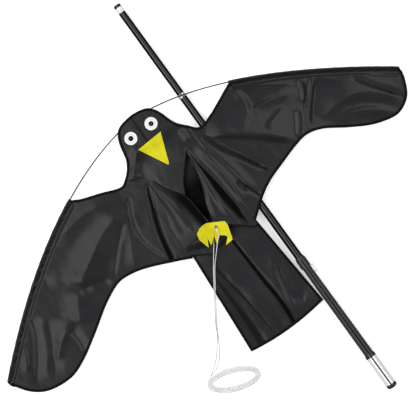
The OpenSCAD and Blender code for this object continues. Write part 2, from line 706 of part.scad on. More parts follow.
module pupils() {
    color("black") on_kite() for (s = [-1, 1])
        round_patch([s * eye_gap / 2 - face_off, eye_y], pupil_d, eye_lift + patch_t + soft_gap);
}

// Beak: a triangle folded along its middle
beak_top_y = 276;
beak_tip_share = 0.06;
beak_lean_shares = [0.66, 0.19];
beak_steps = 8;
module beak() {
    rows = [for (k = [0 : beak_steps]) [for (j = [0 : beak_steps]) let (
            f = k / beak_steps,
            half = beak_w / 2 * mix(1, beak_tip_share, f),
            side = 2 * j / beak_steps - 1,
            x = half * side - face_off * mix(beak_lean_shares[0], beak_lean_shares[1], f),
            y = beak_top_y - beak_l * f)
        [x, y, body_lay(x, y) + eye_lift + beak_h * (1 - abs(side)) * (1 - f / 2)]]];
    color("gold") on_kite() sheet(turned(rows), patch_t);
}

// Claws: two cloth pieces on the tip of the keel, held by the eyelet
claw_z = body_lay(0, keel_foot_y) + cloth_t + keel_h + cloth_t + 2 * soft_gap;
module claw_piece(shares, z) {
    on_kite() translate([eyelet_off, -eyelet_drop, z]) difference() {
        rotate([0, 0, claw_turn]) linear_extrude(claw_t)
            polygon([for (s = shares) [s[0] * claw_w, s[1] * claw_l]]);
        translate([0, 0, -over]) cylinder(h = claw_t + 2 * over,
            d = eyelet_hole_d + 2 * eyelet_barrel_wall + 2 * bond_gap);
    }
}
module front_claws() {
    color("#e1d72d") claw_piece(front_claw_shares, claw_z + claw_t + soft_gap);
}
module back_claws() {
    color("#cfc42a") claw_piece(back_claw_shares, claw_z);
}
eyelet_grip = 2 * claw_t + soft_gap;
module eyelet() {
    barrel_d = eyelet_hole_d + 2 * eyelet_barrel_wall;
    color("silver") on_kite() translate([eyelet_off, -eyelet_drop, claw_z - eyelet_lip]) difference() {
        union() {
            cylinder(h = eyelet_grip + eyelet_lip, d = barrel_d);
            translate([0, 0, eyelet_grip + eyelet_lip]) cylinder(h = eyelet_lip, d = eyelet_d);
        }
        translate([0, 0, -over]) cylinder(h = eyelet_grip + 2 * eyelet_lip + 2 * over, d = eyelet_hole_d);
    }
}
module eyelet_washer() {
    barrel_d = eyelet_hole_d + 2 * eyelet_barrel_wall;
    color("silver") on_kite() translate([eyelet_off, -eyelet_drop, claw_z - eyelet_lip]) difference() {
        cylinder(h = eyelet_lip, d = eyelet_d);
        translate([0, 0, -over]) cylinder(h = eyelet_lip + 2 * over, d = barrel_d + 2 * bond_gap);
    }
}
module tip_rivets() {
    color("black") on_kite() for (side = [-1, 1]) {
        reach = side < 0 ? left_reach : right_reach;
        x = side * (reach - rivet_inset);
        y = wing_top(x) - rivet_d;
        translate([x, y, lay(x, y) + cloth_t + soft_gap]) rotate_extrude() intersection() {
            translate([0, rivet_h - rivet_d]) circle(rivet_d);
            square([rivet_d / 2, rivet_h]);
        }
    }
}

// One strand's coil: a flat oval spiral that runs inwards
function coil_point(a, z) = let (
        r = line_pitch * (a - coil_start) / 360,
        p = [(coil_l / 2 - r) * cos(a), (coil_w / 2 - r) * sin(a)])
    [coil_at[0] + p[0] * cos(coil_turn) - p[1] * sin(coil_turn),
        coil_at[1] + p[0] * sin(coil_turn) + p[1] * cos(coil_turn), z];
function coil_path(z) = [for (k = [0 : line_loops * loop_rings])
    coil_point(coil_start + 360 * k / loop_rings, z)];
module strand_coil(z) {
    on_kite() sweep(coil_path(z), ellipse(line_d / 2, line_d / 2, loop_sides));
}
front_coil_z = line_d / 2;
back_coil_z = front_coil_z + line_pitch;
module front_coil() {
    color("whitesmoke") strand_coil(front_coil_z);
}
module back_coil() {
    color("whitesmoke") strand_coil(back_coil_z);
}
// Least gap of a coil to itself, from each ring to all the points near it on the next loop
near_steps = 40;
loop_gap = min([for (k = [0 : (line_loops - 1) * loop_rings], d = [-near_steps : near_steps])
    let (a = coil_start + 360 * k / loop_rings, b = a + 360 + d * 360 / loop_rings / near_steps)
    norm(coil_point(a, 0) - coil_point(b, 0))]) - line_d;
echo(loop_gap = loop_gap);

module front_line() {
    color("whitesmoke") on_kite() sweep(concat(front_route, [coil_path(front_coil_z)[0]]),
        ellipse(line_d / 2, line_d / 2, line_sides), line_ref);
}
module back_line() {
    color("whitesmoke") on_kite() sweep(concat(back_route, [coil_path(back_coil_z)[0]]),
        ellipse(line_d / 2, line_d / 2, line_sides), line_ref);
}

butt_plug();
butt_cushion();
butt_sleeve();
flare_ring();
grip_sleeve();
grip_collar();
line_keeper();
outer_section();
mouth_band();
second_section();
third_section();
tip_section();
tip_knob();
rod_clip();
left_rod();
right_rod();
rod_joiner();
rod_end_caps();
left_sleeve();
right_sleeve();
left_wing();
right_wing();
body_panel();
tail_panel();
left_keel();
right_keel();
left_wing_tape();
right_wing_tape();
head_tape();
tail_tape();
beak();
eye_discs();
pupils();
front_claws();
back_claws();
eyelet();
eyelet_washer();
tip_rivets();
front_line();
back_line();
front_coil();
back_coil();
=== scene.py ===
# %% [markdown]
# A bird scarer kite on its closed telescopic pole, lying on a pale table and seen from straight above.
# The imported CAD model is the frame: its pole and small fittings stay and get finishes, the cloth, the rods
# and the patches are made anew as numpy surfaces, and the line is a curve. Lengths are worked out in
# millimetres and stored in metres.

import math

import bpy
import numpy as np
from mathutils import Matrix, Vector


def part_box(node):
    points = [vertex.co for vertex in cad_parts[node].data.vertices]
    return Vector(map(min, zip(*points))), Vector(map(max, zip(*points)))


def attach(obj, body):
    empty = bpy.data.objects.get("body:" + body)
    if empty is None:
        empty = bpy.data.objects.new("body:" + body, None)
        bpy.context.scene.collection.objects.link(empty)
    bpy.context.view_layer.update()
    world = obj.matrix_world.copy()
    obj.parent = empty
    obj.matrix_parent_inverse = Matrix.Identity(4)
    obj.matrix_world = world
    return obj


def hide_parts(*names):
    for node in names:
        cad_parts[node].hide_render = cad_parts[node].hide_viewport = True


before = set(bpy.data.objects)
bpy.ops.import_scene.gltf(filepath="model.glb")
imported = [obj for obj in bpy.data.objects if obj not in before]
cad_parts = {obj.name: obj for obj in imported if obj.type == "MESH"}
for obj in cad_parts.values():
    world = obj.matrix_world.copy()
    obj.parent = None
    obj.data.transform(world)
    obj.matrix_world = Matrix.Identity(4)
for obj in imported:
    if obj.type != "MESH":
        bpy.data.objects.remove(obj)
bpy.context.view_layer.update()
MM = 0.001

# %% [markdown]
# The photograph looks straight down from a few metres away, with the pole turned to the lower right. The
# kite could be turned under a square camera, but the part keeps its own frame, so the camera is turned
# about the vertical instead. Its narrow angle keeps the long pole straight.

# %% Camera
VIEW_WIDTH = 1082 * MM
VIEW_DISTANCE = 3.4
VIEW_CENTRE = (36.3 * MM, 46.1 * MM, 15 * MM)
VIEW_TURN = math.radians(-35.93)

camera_data = bpy.data.cameras.new("overhead_camera")
camera_data.angle = 2 * math.atan(VIEW_WIDTH / 2 / VIEW_DISTANCE)
camera = bpy.data.objects.new("overhead_camera", camera_data)
camera.location = (VIEW_CENTRE[0], VIEW_CENTRE[1], VIEW_CENTRE[2] + VIEW_DISTANCE)
camera.rotation_euler = (0, 0, VIEW_TURN)
bpy.context.collection.objects.link(camera)
bpy.context.scene.camera = camera
bpy.context.scene.view_settings.view_transform = "Standard"
print("camera angle", round(math.degrees(camera_data.angle), 2))

# %% [markdown]
# The frame's origin lies midway between the wing tips. The left wing reaches farther, so the kite's middle
# line is off the origin by half the difference, and the sail is drawn about that line. The pole's place
# comes from its CAD box. Folds are read off the photograph most easily in its own pixels, so one helper
# turns those into millimetres on the kite.

# %% Places and small helpers
def middle(node):
    """Middle of a CAD node's box, in millimetres."""
    low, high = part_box(node)
    return [(a + b) / 2 / MM for a, b in zip(low, high)]


LEFT_REACH, RIGHT_REACH = 679, 635
AXIS_X = (LEFT_REACH - RIGHT_REACH) / 2
POLE_X, _, POLE_Z = middle("outer_section")
POLE_OFF = POLE_X - AXIS_X
PHOTO_ORIGIN, PHOTO_PIXEL = (214.0, 225.6), 2.6


def placed(points):
    """Kite points in millimetres as frame points in metres."""
    return (np.asarray(points, float) + [AXIS_X, 0, 0]) * MM


def from_photo(points):
    """Places read off the photograph, in its pixels, as kite millimetres: moved, scaled and turned."""
    right, down = (np.asarray(points, float) - PHOTO_ORIGIN).T * PHOTO_PIXEL
    c, s = math.cos(VIEW_TURN), -math.sin(VIEW_TURN)
    return np.stack([c * right - s * down, -s * right - c * down], -1)


def mix(a, b, f):
    """The value a share f of the way from a to b."""
    return a + (b - a) * f


def smooth(f):
    """The step 3 f^2 - 2 f^3, held at 0 and 1 outside."""
    c = np.clip(f, 0, 1)
    return c * c * (3 - 2 * c)


def through(points, count):
    """Points on the smooth cubic that passes through all the given points (Catmull and Rom's formula)."""
    p = np.asarray(points, float)
    s = np.linspace(0, len(p) - 1, count)
    i = np.minimum(s.astype(int), len(p) - 2)
    f = (s - i)[:, None]
    a, b, c, d = (p[np.clip(i + k, 0, len(p) - 1)] for k in (-1, 0, 1, 2))
    return (2 * b + (c - a) * f + (2 * a - 5 * b + 4 * c - d) * f**2 + (3 * b - a - 3 * c + d) * f**3) / 2


def straight(s, at, points):
    """Points at s on the straight lines between points that lie at the places at."""
    return np.stack([np.interp(s, at, column) for column in np.asarray(points).T], -1)


print("kite axis", AXIS_X, "pole", round(POLE_X, 2), round(POLE_Z, 2))

# %% [markdown]
# The line is a doubled clear nylon cord. One strand rises from the eyelet's top over the claws, the other
# leaves below them, and both run down over the tail to the table, where each is wound into a flat oval coil.
# A hanging chain would be the textbook way, but this cord lies on things almost all the way, so the route is
# a given list of resting points with the coil as a formula, on one smooth curve.

# %% Line: two strands from the eyelet to the coil
LINE_D = 2.2
LINE_LOOPS = 5
LOOP_POINTS = 24
LINE_ROUNDING, LINE_STEPS = 3, 5
LINE_PITCH, COIL_PITCH = 3.1, 3.4
COIL_LENGTH, COIL_WIDTH = 144, 66
COIL_AT = np.array([-192, -356])
COIL_TURN, COIL_START = math.radians(-22), math.radians(160)
FRONT_ROUTE = [
    (2, -6, 51.2), (2, -6, 57), (1, -9, 61), (-1, -14, 62), (-2, -19, 59.5), (-4, -24, 56.5), (-8, -30, 55),
    (-18, -40, 54.6), (-28, -51, 53), (-38, -62, 44), (-47, -72, 32), (-56, -82, 22), (-66, -95, 17.4),
    (-80, -115, 15), (-95, -137, 13.6), (-110, -160, 9), (-125, -182, 4.5), (-142, -208, 1.8),
    (-160, -240, 1.2), (-177, -268, 1.1), (-196, -293, 1.1), (-219, -309, 1.1), (-240, -315.4, 1.1),
]
BACK_ROUTE = [
    (2, -6, 50.8), (2, -6, 46), (0, -8, 42), (-5, -12, 39.5), (-12, -17, 37.5), (-18, -23, 36),
    (-25, -34, 33), (-34, -46, 29), (-43, -58, 25), (-52, -70, 21), (-61, -82, 18.4), (-71, -96, 17),
    (-85, -117, 15), (-100, -139, 13.6), (-115, -162, 9), (-130, -184, 4.5), (-147, -210, 1.8),
    (-160, -235, 1.2), (-180, -262, 1.1), (-200, -285, 1.5), (-222, -303, 2.9), (-240, -315.2, 4),
]


def coil(height):
    """Oval spiral: an ellipse whose half axes shrink by one pitch each turn, turned on the table."""
    a = COIL_START + np.linspace(0, 2 * np.pi * LINE_LOOPS, LINE_LOOPS * LOOP_POINTS + 1)
    inward = COIL_PITCH * (a - COIL_START) / (2 * np.pi)
    p = (COIL_LENGTH / 2 - inward) * np.cos(a)
    q = (COIL_WIDTH / 2 - inward) * np.sin(a)
    x = COIL_AT[0] + p * math.cos(COIL_TURN) - q * math.sin(COIL_TURN)
    y = COIL_AT[1] + p * math.sin(COIL_TURN) + q * math.cos(COIL_TURN)
    return np.stack([x, y, np.full_like(x, height)], -1)


def line_strand(name, route, coil_height):
    """One strand as an open Bezier curve through the route's points and then the coil's.

    Its bevel has a depth of 1, so the points' own radius gives the thickness."""
    points = placed(np.concatenate([route, coil(coil_height)]))
    data = bpy.data.curves.new(name, "CURVE")
    data.dimensions = "3D"
    data.bevel_depth = 1.0
    data.bevel_resolution = LINE_ROUNDING
    data.resolution_u = LINE_STEPS
    data.use_fill_caps = True
    spline = data.splines.new("BEZIER")
    spline.bezier_points.add(len(points) - 1)
    spline.bezier_points.foreach_set("co", points.ravel())
    spline.bezier_points.foreach_set("radius", np.full(len(points), LINE_D / 2 * MM))
    for point in spline.bezier_points:
        point.handle_left_type = point.handle_right_type = "AUTO"
    strand = bpy.data.objects.new(name, data)
    bpy.context.collection.objects.link(strand)
    length = np.linalg.norm(np.diff(points, axis=0), axis=1).sum()
    print(name, "length", round(float(length), 3), "m")
    return strand, float(length), points[0]


strands = []
for name, route, height, replaced in (
    ("front_strand", FRONT_ROUTE, LINE_D / 2, ("front_line", "front_coil")),
    ("back_strand", BACK_ROUTE, LINE_D / 2 + LINE_PITCH, ("back_line", "back_coil")),
):
    strand, length, start = line_strand(name, route, height)
    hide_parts(*replaced)
    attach(strand, "kite")
    strands.append(strand)

# %% [markdown]
# Every new piece needs a mesh with a UV map in metres, so that weave and stitches keep their real size.
# Unwrapping would have to guess that size, so the UV comes from the same sums as the points.

# %% Mesh builder
EDGE_ANGLE = 50


def new_piece(name, points, faces, face_uv, sharp=EDGE_ANGLE):
    """Object from kite points in millimetres, a list of faces and one UV pair for each face corner.

    If the signed volume, the sum of the triangles' triple products, is negative, the faces are turned."""
    mesh = bpy.data.meshes.new(name)
    mesh.from_pydata(placed(points).tolist(), [], faces)
    mesh.uv_layers.new(name="cloth").uv.foreach_set("vector", (np.concatenate(face_uv) * MM).ravel())
    mesh.calc_loop_triangles()
    numbers = np.empty(3 * len(mesh.loop_triangles), np.int32)
    mesh.loop_triangles.foreach_get("vertices", numbers)
    corner = np.asarray(points, float)[numbers.reshape(-1, 3)]
    if np.einsum("ij,ij->", corner[:, 0], np.cross(corner[:, 1], corner[:, 2])) < 0:
        mesh.flip_normals()
    mesh.shade_smooth()
    mesh.set_sharp_from_angle(angle=math.radians(sharp))
    piece = bpy.data.objects.new(name, mesh)
    bpy.context.collection.objects.link(piece)
    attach(piece, "kite")
    print(name, len(mesh.polygons), "faces")
    return piece

# %% [markdown]
# A cloth piece is a grid of points that gets a thickness along its surface normals. The Solidify modifier
# does the same, but here quads can also be left out, as for a hole, and a share can be kept at each point.
# Everything is a sum of whole arrays, with no loop over vertices.

# %% Cloth pieces
def grid_normals(grid):
    """Unit normals of a grid: the cross product of its two central differences."""
    n = np.cross(np.gradient(grid, axis=1), np.gradient(grid, axis=0))
    return n / np.maximum(np.linalg.norm(n, axis=-1, keepdims=True), 1e-9)


def grid_corners(rows, columns):
    """Corner numbers of a grid's quads, counter-clockwise about the cross product of column and row steps."""
    a = (np.arange(rows - 1)[:, None] * columns + np.arange(columns - 1)).ravel()
    return np.stack([a, a + 1, a + columns + 1, a + columns], -1)


def border_of(quads, count):
    """Edges that only one quad has, as two lists of point numbers in the quads' turning sense."""
    start, end = quads.ravel(), np.roll(quads, -1, axis=1).ravel()
    alone = ~np.isin(start * count + end, end * count + start)
    return start[alone], end[alone]


def cloth_piece(name, grid, thick, shade_and_dark_marks=None, keep=None):
    """Closed cloth: the grid moved half a thickness each way along its normals, joined round its borders.

    shade_and_dark_marks is a share for each grid point, of painted shade and of dark marks, kept as an
    attribute, and keep says which points' quads stay."""
    flip = grid_normals(grid)[..., 2].mean() < 0
    shade_and_dark_marks = np.zeros(grid.shape[:2]) if shade_and_dark_marks is None else shade_and_dark_marks
    keep = np.ones(grid.shape[:2], bool) if keep is None else keep
    if flip:
        grid, shade_and_dark_marks, keep = grid[:, ::-1], shade_and_dark_marks[:, ::-1], keep[:, ::-1]
    offset = grid_normals(grid) * thick / 2
    points = np.concatenate([(grid + offset).reshape(-1, 3), (grid - offset).reshape(-1, 3)])
    count = len(points) // 2
    top = grid_corners(*grid.shape[:2])
    top = top[keep.ravel()[top].all(1)]
    p, q = border_of(top, count)
    faces = np.concatenate([top, top[:, ::-1] + count, np.stack([p, p + count, q + count, q], -1)])
    used, again = np.unique(faces, return_inverse=True)
    flat = points[:, :2]
    piece = new_piece(name, points[used], again.reshape(faces.shape).tolist(), [flat[faces].reshape(-1, 2)])
    share = np.tile(shade_and_dark_marks.ravel(), 2)[used]
    piece.data.attributes.new("shade_and_dark_marks", "FLOAT", "POINT").data.foreach_set("value", share.astype(np.float32))
    return piece

# %% [markdown]
# A rod, sleeve or tape is a profile carried along a path. A bevelled curve could do that too, but its
# section is the same all along, and a sleeve is puckered by its stitches.

# %% Bars along a path
MITRE_FLOOR = 0.8


def run_of(path):
    """Distance along a path to each of its points."""
    return np.concatenate([[0], np.linalg.norm(np.diff(path, axis=0), axis=1).cumsum()])


def sideways(path):
    """Level vectors to the left of a path: at a bend, the mitre of its two unit normals, held short."""
    step = np.diff(path[:, :2], axis=0)
    n = np.stack([-step[:, 1], step[:, 0]], -1) / np.linalg.norm(step, axis=1, keepdims=True)
    both = np.concatenate([n[:1], n]) + np.concatenate([n, n[-1:]])
    mitre = 2 * both / np.maximum((both**2).sum(1, keepdims=True), MITRE_FLOOR)
    return np.concatenate([mitre, np.zeros((len(path), 1))], -1)


def carried_piece(name, path, across, profile, sharp=EDGE_ANGLE):
    """Closed bar: point (i, k) is path i + profile u * across i + profile v * up i, with flat ends.

    The profile runs counter-clockwise seen against the path's direction, and may differ along the path."""
    along = np.gradient(path, axis=0)
    along /= np.linalg.norm(along, axis=1, keepdims=True)
    across = across - (across * along).sum(1, keepdims=True) * along
    up = np.cross(along, across)
    up /= np.linalg.norm(up, axis=1, keepdims=True)
    profile = np.broadcast_to(profile, (len(path), *np.shape(profile)[-2:]))
    points = path[:, None] + profile[..., :1] * across[:, None] + profile[..., 1:] * up[:, None]
    n, m = points.shape[:2]
    i, k = (v.ravel() for v in np.meshgrid(np.arange(n - 1), np.arange(m), indexing="ij"))
    nxt = (k + 1) % m
    quads = np.stack([i * m + k, i * m + nxt, (i + 1) * m + nxt, (i + 1) * m + k], -1)
    girth = run_of(np.concatenate([points[0], points[0][:1]]))
    run = run_of(path)
    quad_uv = np.stack([
        np.stack([run[i], run[i], run[i + 1], run[i + 1]], -1),
        np.stack([girth[k], girth[k + 1], girth[k + 1], girth[k]], -1),
    ], -1)
    ends = [np.arange(m)[::-1].tolist(), ((n - 1) * m + np.arange(m)).tolist()]
    end_uv = [profile[0][::-1], profile[-1]]
    return new_piece(name, points.reshape(-1, 3), quads.tolist() + ends,
                     [quad_uv.reshape(-1, 2), *end_uv], sharp=sharp)

# %% [markdown]
# The sail is spread over the pole, so its cloth rises to the clip over the pole and sinks to the table on
# both sides. The bow rod bends from the middle to each tip by a power law. All of the cloth uses these
# two functions, so the panels, sleeves and tapes meet without fitting.

# %% Lie of the sail
ROD_D, SLEEVE_W, SLEEVE_H, SLEEVE_IN, SOFT_GAP, CLOTH_T = 3.5, 17, 6.4, 4.5, 0.3, 1.2
BOW_TOP, LEFT_DROP, RIGHT_DROP = 346, 362, 294
LEFT_POWER, RIGHT_POWER = 1.75, 1.6
SEAM, NECK_Y, HEAD_Y, NOTCH_Y, TAIL_Y = 94, 246, 352, 44, 319
SLEEVE_START, RISE_REACH, TAIL_LAY_SHARE, TIP_LAP = 256, 400, 0.06, 3
JOINER_D, JOINER_LENGTH = 6, 70
clip_low, clip_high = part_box("rod_clip")
CLIP_D = (clip_high[0] - clip_low[0]) / MM
CREST = POLE_Z + (CLIP_D + ROD_D - SLEEVE_H) / 2 + SOFT_GAP
HEAD_RISE = SLEEVE_H / 2 + JOINER_D / 2 + 2 * SOFT_GAP


def rod_end(reach, drop, power):
    """Where the rod ends: short of the wing's reach by the sleeve's half width at the tip's slope."""
    return reach - SLEEVE_W / 2 * math.sin(math.atan(drop * power / reach))


LEFT_END = rod_end(LEFT_REACH, LEFT_DROP, LEFT_POWER)
RIGHT_END = rod_end(RIGHT_REACH, RIGHT_DROP, RIGHT_POWER)


def bow(x):
    """Bow rod seen from above: the top less drop * (distance / end) ^ power, each side with its own."""
    left = LEFT_DROP * (np.abs(x) / LEFT_END) ** LEFT_POWER
    right = RIGHT_DROP * (np.abs(x) / RIGHT_END) ** RIGHT_POWER
    return BOW_TOP - np.where(np.asarray(x) < 0, left, right)


def lay(x, y):
    """Height of the cloth: a squared cosine over the pole that sinks along the tail."""
    d = np.minimum(np.abs(x - POLE_OFF) / RISE_REACH, 1)
    sink = mix(TAIL_LAY_SHARE, 1, smooth((y + TAIL_Y) / (TAIL_Y - NOTCH_Y)))
    return CREST * np.cos(np.pi / 2 * d) ** 2 * sink


def body_lay(x, y):
    """The same, with the head lifted over the rod's joiner."""
    return lay(x, y) + HEAD_RISE * smooth((y - NECK_Y) / (BOW_TOP - JOINER_LENGTH - NECK_Y))


def bow_stretch(x):
    """Length of the bow for each millimetre across."""
    return np.hypot(1, bow(x + 0.5) - bow(x - 0.5))


print("crest", round(CREST, 2), "rod ends", round(LEFT_END, 1), round(RIGHT_END, 1))

# %% [markdown]
# Thin coated cloth that has been packed falls into long soft folds, which catch the light. A cloth
# simulation gives other folds each time its settings change, so the folds that the photograph shows are
# placed directly. Each is a hump along a smooth line, with its own width on each side so that one flank
# can be steep, and a seeded sum of sines adds the fine unevenness.

# %% Shapes of folds
TENT, CREST_ROUND, FOLD_STEPS = 7, 2, 24
TABLE_SOFT, SAIL_T = 1.6, 0.7
WAVES, WAVE_LIFT = 18, 1.2
BROAD_PITCHES, FINE_PITCHES = (14, 90), (7, 24)


def beside(x, y, line):
    """Signed distance from a smooth line, positive on its left, and the share of the way along it."""
    path = through(from_photo(line), FOLD_STEPS)
    a, step = path[:-1], np.diff(path, axis=0)
    px, py = x[..., None] - a[:, 0], y[..., None] - a[:, 1]
    t = np.clip((px * step[:, 0] + py * step[:, 1]) / (step**2).sum(1), 0, 1)
    gap = np.hypot(px - t * step[:, 0], py - t * step[:, 1])
    nearest = gap.argmin(-1)[..., None]
    side = np.take_along_axis(step[:, 0] * py - step[:, 1] * px, nearest, -1)[..., 0]
    way = (nearest + np.take_along_axis(t, nearest, -1))[..., 0] / len(a)
    return np.where(side > 0, 1, -1) * np.take_along_axis(gap, nearest, -1)[..., 0], way


def fold(x, y, line, height, left, right, ends=(0.3, 0.3)):
    """A tent: height * softplus(k (1 - distance / width)) / softplus(k), faded at the line's ends.

    Each side has its own width, so a crest can have one wide flank and one steep one."""
    distance, way = beside(x, y, line)
    share = np.sqrt(distance**2 + CREST_ROUND) / np.where(distance > 0, left, right)
    fade = smooth(way / ends[0]) * smooth((1 - way) / ends[1])
    return height * fade * np.logaddexp(0, TENT * (1 - share)) / np.logaddexp(0, TENT)


def rest(z):
    """Height of cloth on the table: softplus, so valleys flatten gently instead of being cut off."""
    return TABLE_SOFT * np.logaddexp(0, z / TABLE_SOFT) + SAIL_T / 2


def crinkle(x, y, seed, size, pitches=BROAD_PITCHES):
    """Sum of sines in seeded directions and pitches, each as steep as the others, lifted above the middle."""
    rng = np.random.default_rng(seed)
    turn = rng.uniform(0, np.pi, WAVES)
    pitch = rng.uniform(*pitches, WAVES)
    phase = rng.uniform(0, 2 * np.pi, WAVES)
    k = 2 * np.pi / pitch
    along = np.cos(turn) * x[..., None] + np.sin(turn) * y[..., None]
    wave = np.sin(k * along + phase) * pitch / pitches[1]
    return size * (wave.sum(-1) / math.sqrt(WAVES) + WAVE_LIFT)

# %% [markdown]
# On the wings the folds fan out from the neck and gather towards the tips, with hollows beside them. Each
# row below is one fold. One list serves both wings and the body, so that a fold can cross a seam.

# %% Folds of the wings and body
WING_LIFT, FOLD_RISE = 5, 1.4
# A line in the photograph, a height, the widths left and right of the line, and the fading at its ends
WING_FOLDS = [
    ([(128, 205), (112, 222), (100, 240), (90, 262), (78, 290)], 8, 60, 55, (0.25, 0.12)),
    ([(122, 196), (90, 211), (72, 226), (53, 243)], 6, 30, 45),
    ([(46, 284), (58, 279), (68, 280), (76, 290)], 2.5, 40, 30),
    ([(78, 288), (79, 308), (81, 326)], 4.5, 40, 45),
    ([(79, 292), (95, 284), (112, 282)], -3.5, 14, 16),
    ([(124, 220), (117, 250), (113, 279)], -3, 9, 14),
    ([(130, 212), (132, 240), (135, 270)], 2.5, 10, 24),
    ([(128, 197), (133, 220), (142, 240), (166, 259)], -3, 5, 5, (0.1, 0.1)),
    ([(29, 316), (36, 340), (36, 388)], -5, 26, 12),
    ([(46, 318), (52, 345), (55, 380)], -3.5, 26, 16),
    ([(67, 326), (79, 342), (86, 354)], -3.5, 22, 9),
    ([(73, 320), (62, 342), (57, 364)], 4, 14, 30),
    ([(22, 344), (26, 358), (27, 374)], 3, 8, 14),
    ([(202, 136), (228, 151), (266, 169)], -5, 8, 10, (0.08, 0.15)),
    ([(204, 135), (248, 134), (296, 138)], 7, 75, 15),
    ([(195, 146), (222, 172), (247, 204)], 6, 22, 15),
    ([(202, 141), (230, 166), (257, 194)], 4, 18, 12),
    ([(242, 185), (253, 191), (264, 197)], -4, 7, 10),
    ([(237, 179), (243, 185), (249, 191)], -3, 7, 10),
    ([(232, 90), (265, 88), (297, 86)], 4, 9, 45),
    ([(246, 117), (265, 103), (298, 90)], 3.5, 12, 18),
    ([(266, 129), (276, 117), (285, 106)], 3, 12, 15),
    ([(226, 86), (243, 100), (247, 114), (239, 132)], 4.5, 14, 60),
    ([(298, 77), (303, 92), (305, 105)], 4.5, 10, 8),
    ([(309, 76), (307, 95), (304, 109)], -4.5, 8, 8),
    ([(317, 76), (314, 100), (312, 128)], -7, 70, 9),
    ([(297, 107), (299, 122), (299, 138)], 4.5, 9, 11),
    ([(321, 120), (345, 98), (370, 92), (406, 98)], 6.5, 40, 22),
    ([(336, 124), (353, 112), (375, 109), (400, 112)], 4.5, 14, 24),
    ([(349, 76), (376, 86), (406, 95)], -4, 12, 8),
    ([(364, 73), (385, 75), (404, 76)], -3, 6, 6),
    ([(138, 146), (136, 162), (133, 180)], 5, 14, 18),
    ([(179, 129), (184, 134), (189, 141)], 3.5, 10, 10),
    ([(126, 181), (134, 178), (143, 176)], 3, 8, 8),
    ([(148, 182), (155, 217), (161, 236), (172, 260)], -7, 9, 10, (0.12, 0.06)),
]


def wing_folds(x, y):
    """All the folds of the wings and body together with their fine unevenness."""
    broad = FOLD_RISE * sum(fold(x, y, *row) for row in WING_FOLDS) + WING_LIFT
    return broad + crinkle(x, y, 11, 0.3) + crinkle(x, y, 12, 0.1, FINE_PITCHES)


print(len(WING_FOLDS), "folds on the wings and body")

# %% [markdown]
# Where the cloth was pressed flat in its bag, sharp creases stay and show as dark lines. Under soft light a
# fold alone isn't dark enough for that, so each crease is also painted shade: a share at the grid's points,
# which the sail's finish reads.

# %% Pressed creases
CREASE_EDGE, CREASE_START = 1.4, 0.08
# A line in the photograph, the crease's half width at both ends, and its share of painted shade
PLEAT = ([(147, 184), (155, 217), (161, 236), (172, 260)], 2.5, 7, 1.0)
LEFT_CREASES = [
    PLEAT,
    ([(124, 220), (117, 250), (113, 279)], 2.5, 2, 0.35),
    ([(128, 197), (133, 220), (142, 240)], 1.5, 1.5, 0.4),
]
RIGHT_CREASES = [
    ([(203, 137), (228, 151), (266, 169)], 2.5, 4, 0.8),
    ([(204, 138), (250, 138), (294, 142)], 3, 10, 0.35),
    ([(236, 180), (250, 189), (264, 198)], 2.5, 4, 0.8),
    ([(230, 90), (262, 89), (296, 86)], 2, 3, 0.4),
    ([(302, 77), (305, 93), (303, 108)], 2, 4, 0.35),
    ([(352, 77), (378, 87), (405, 96)], 2, 5, 0.5),
]
# The last body row is a painted shadow below the left flap's lower edge.
BODY_CREASES = [
    PLEAT,
    ([(131, 117), (139, 129), (148, 141)], 2.5, 4.5, 0.6),
    ([(178, 256), (190, 249), (206, 243)], 6, 12, 0.7),
]
TAIL_CREASES = [
    ([(226, 233), (240, 250), (262, 278), (283, 304), (299, 330)], 4, 8, 0.95),
    ([(210, 262), (230, 283), (247, 301), (272, 330)], 4, 2, 0.6),
    ([(215, 278), (238, 308), (252, 328), (264, 346)], 3, 13, 0.6),
]


def creases(points, rows):
    """Greatest share of painted shade: for each crease, full on its line and none 1.4 half widths beside it.
    """
    x, y = points[..., 0], points[..., 1]
    share = np.zeros_like(x)
    for line, start, end, painted_matte in rows:
        distance, way = beside(x, y, line)
        across = smooth(CREASE_EDGE - np.abs(distance) / mix(start, end, way))
        share = np.maximum(share, painted_matte * across * smooth(way / CREASE_START))
    return share


for panel, rows in (
    ("left wing", LEFT_CREASES), ("right wing", RIGHT_CREASES),
    ("body", BODY_CREASES), ("tail", TAIL_CREASES),
):
    print(panel, "panel:", len(rows), "creases")

# %% [markdown]
# Each wing is one cut panel, bound along the trailing edge and sewn to the leading edge sleeve. A filled
# outline would have no points inside it for the folds, so it is a grid between two outlines: the shoulder
# and sleeve above and the curved trailing edge below. The columns follow the trailing edge's own points,
# which lie closer together at the rounded tips.

# %% Wing panels
WING_DEPTH = NECK_Y + NOTCH_Y
LEFT_TRAIL_SHARES = [
    (0.134, -0.112), (0.19, -0.05), (0.295, 0.055), (0.365, 0.1), (0.43, 0.1), (0.515, 0.01), (0.62, -0.15),
    (0.715, -0.28), (0.79, -0.338), (0.88, -0.315), (0.94, -0.225), (0.985, -0.075),
]
RIGHT_TRAIL_SHARES = [
    (0.143, -0.172), (0.235, -0.02), (0.3, 0.055), (0.375, 0.11), (0.465, 0.17), (0.53, 0.19), (0.6, 0.145),
    (0.685, 0.025), (0.77, -0.08), (0.85, -0.135), (0.9, -0.13), (0.95, -0.06), (0.98, 0.065), (0.99, 0.15),
]
LEFT_SHOULDER = [(0, 1.0), (0.12, 0.93), (0.28, 0.885), (0.6, 0.962), (0.9, 1.03), (1, 1.065), (1.05, 1.08)]
RIGHT_SHOULDER = [(0, 1.0), (0.1, 0.925), (0.22, 0.907), (0.42, 0.95), (0.52, 0.976), (0.95, 1.105)]
TAPE_W, TAPE_T, TAPE_LAP = 5, 2, 2
WING_COLUMNS, WING_ROWS, SHOULDER_STEPS = 260, 110, 60
SEW_LAP, HEM_LAP = 3, 4
SLEEVE_GRIP, GRIP_FADE, BODY_PRESS = 14, 11, 0.9
LEFT_START, RIGHT_START = 264, 248


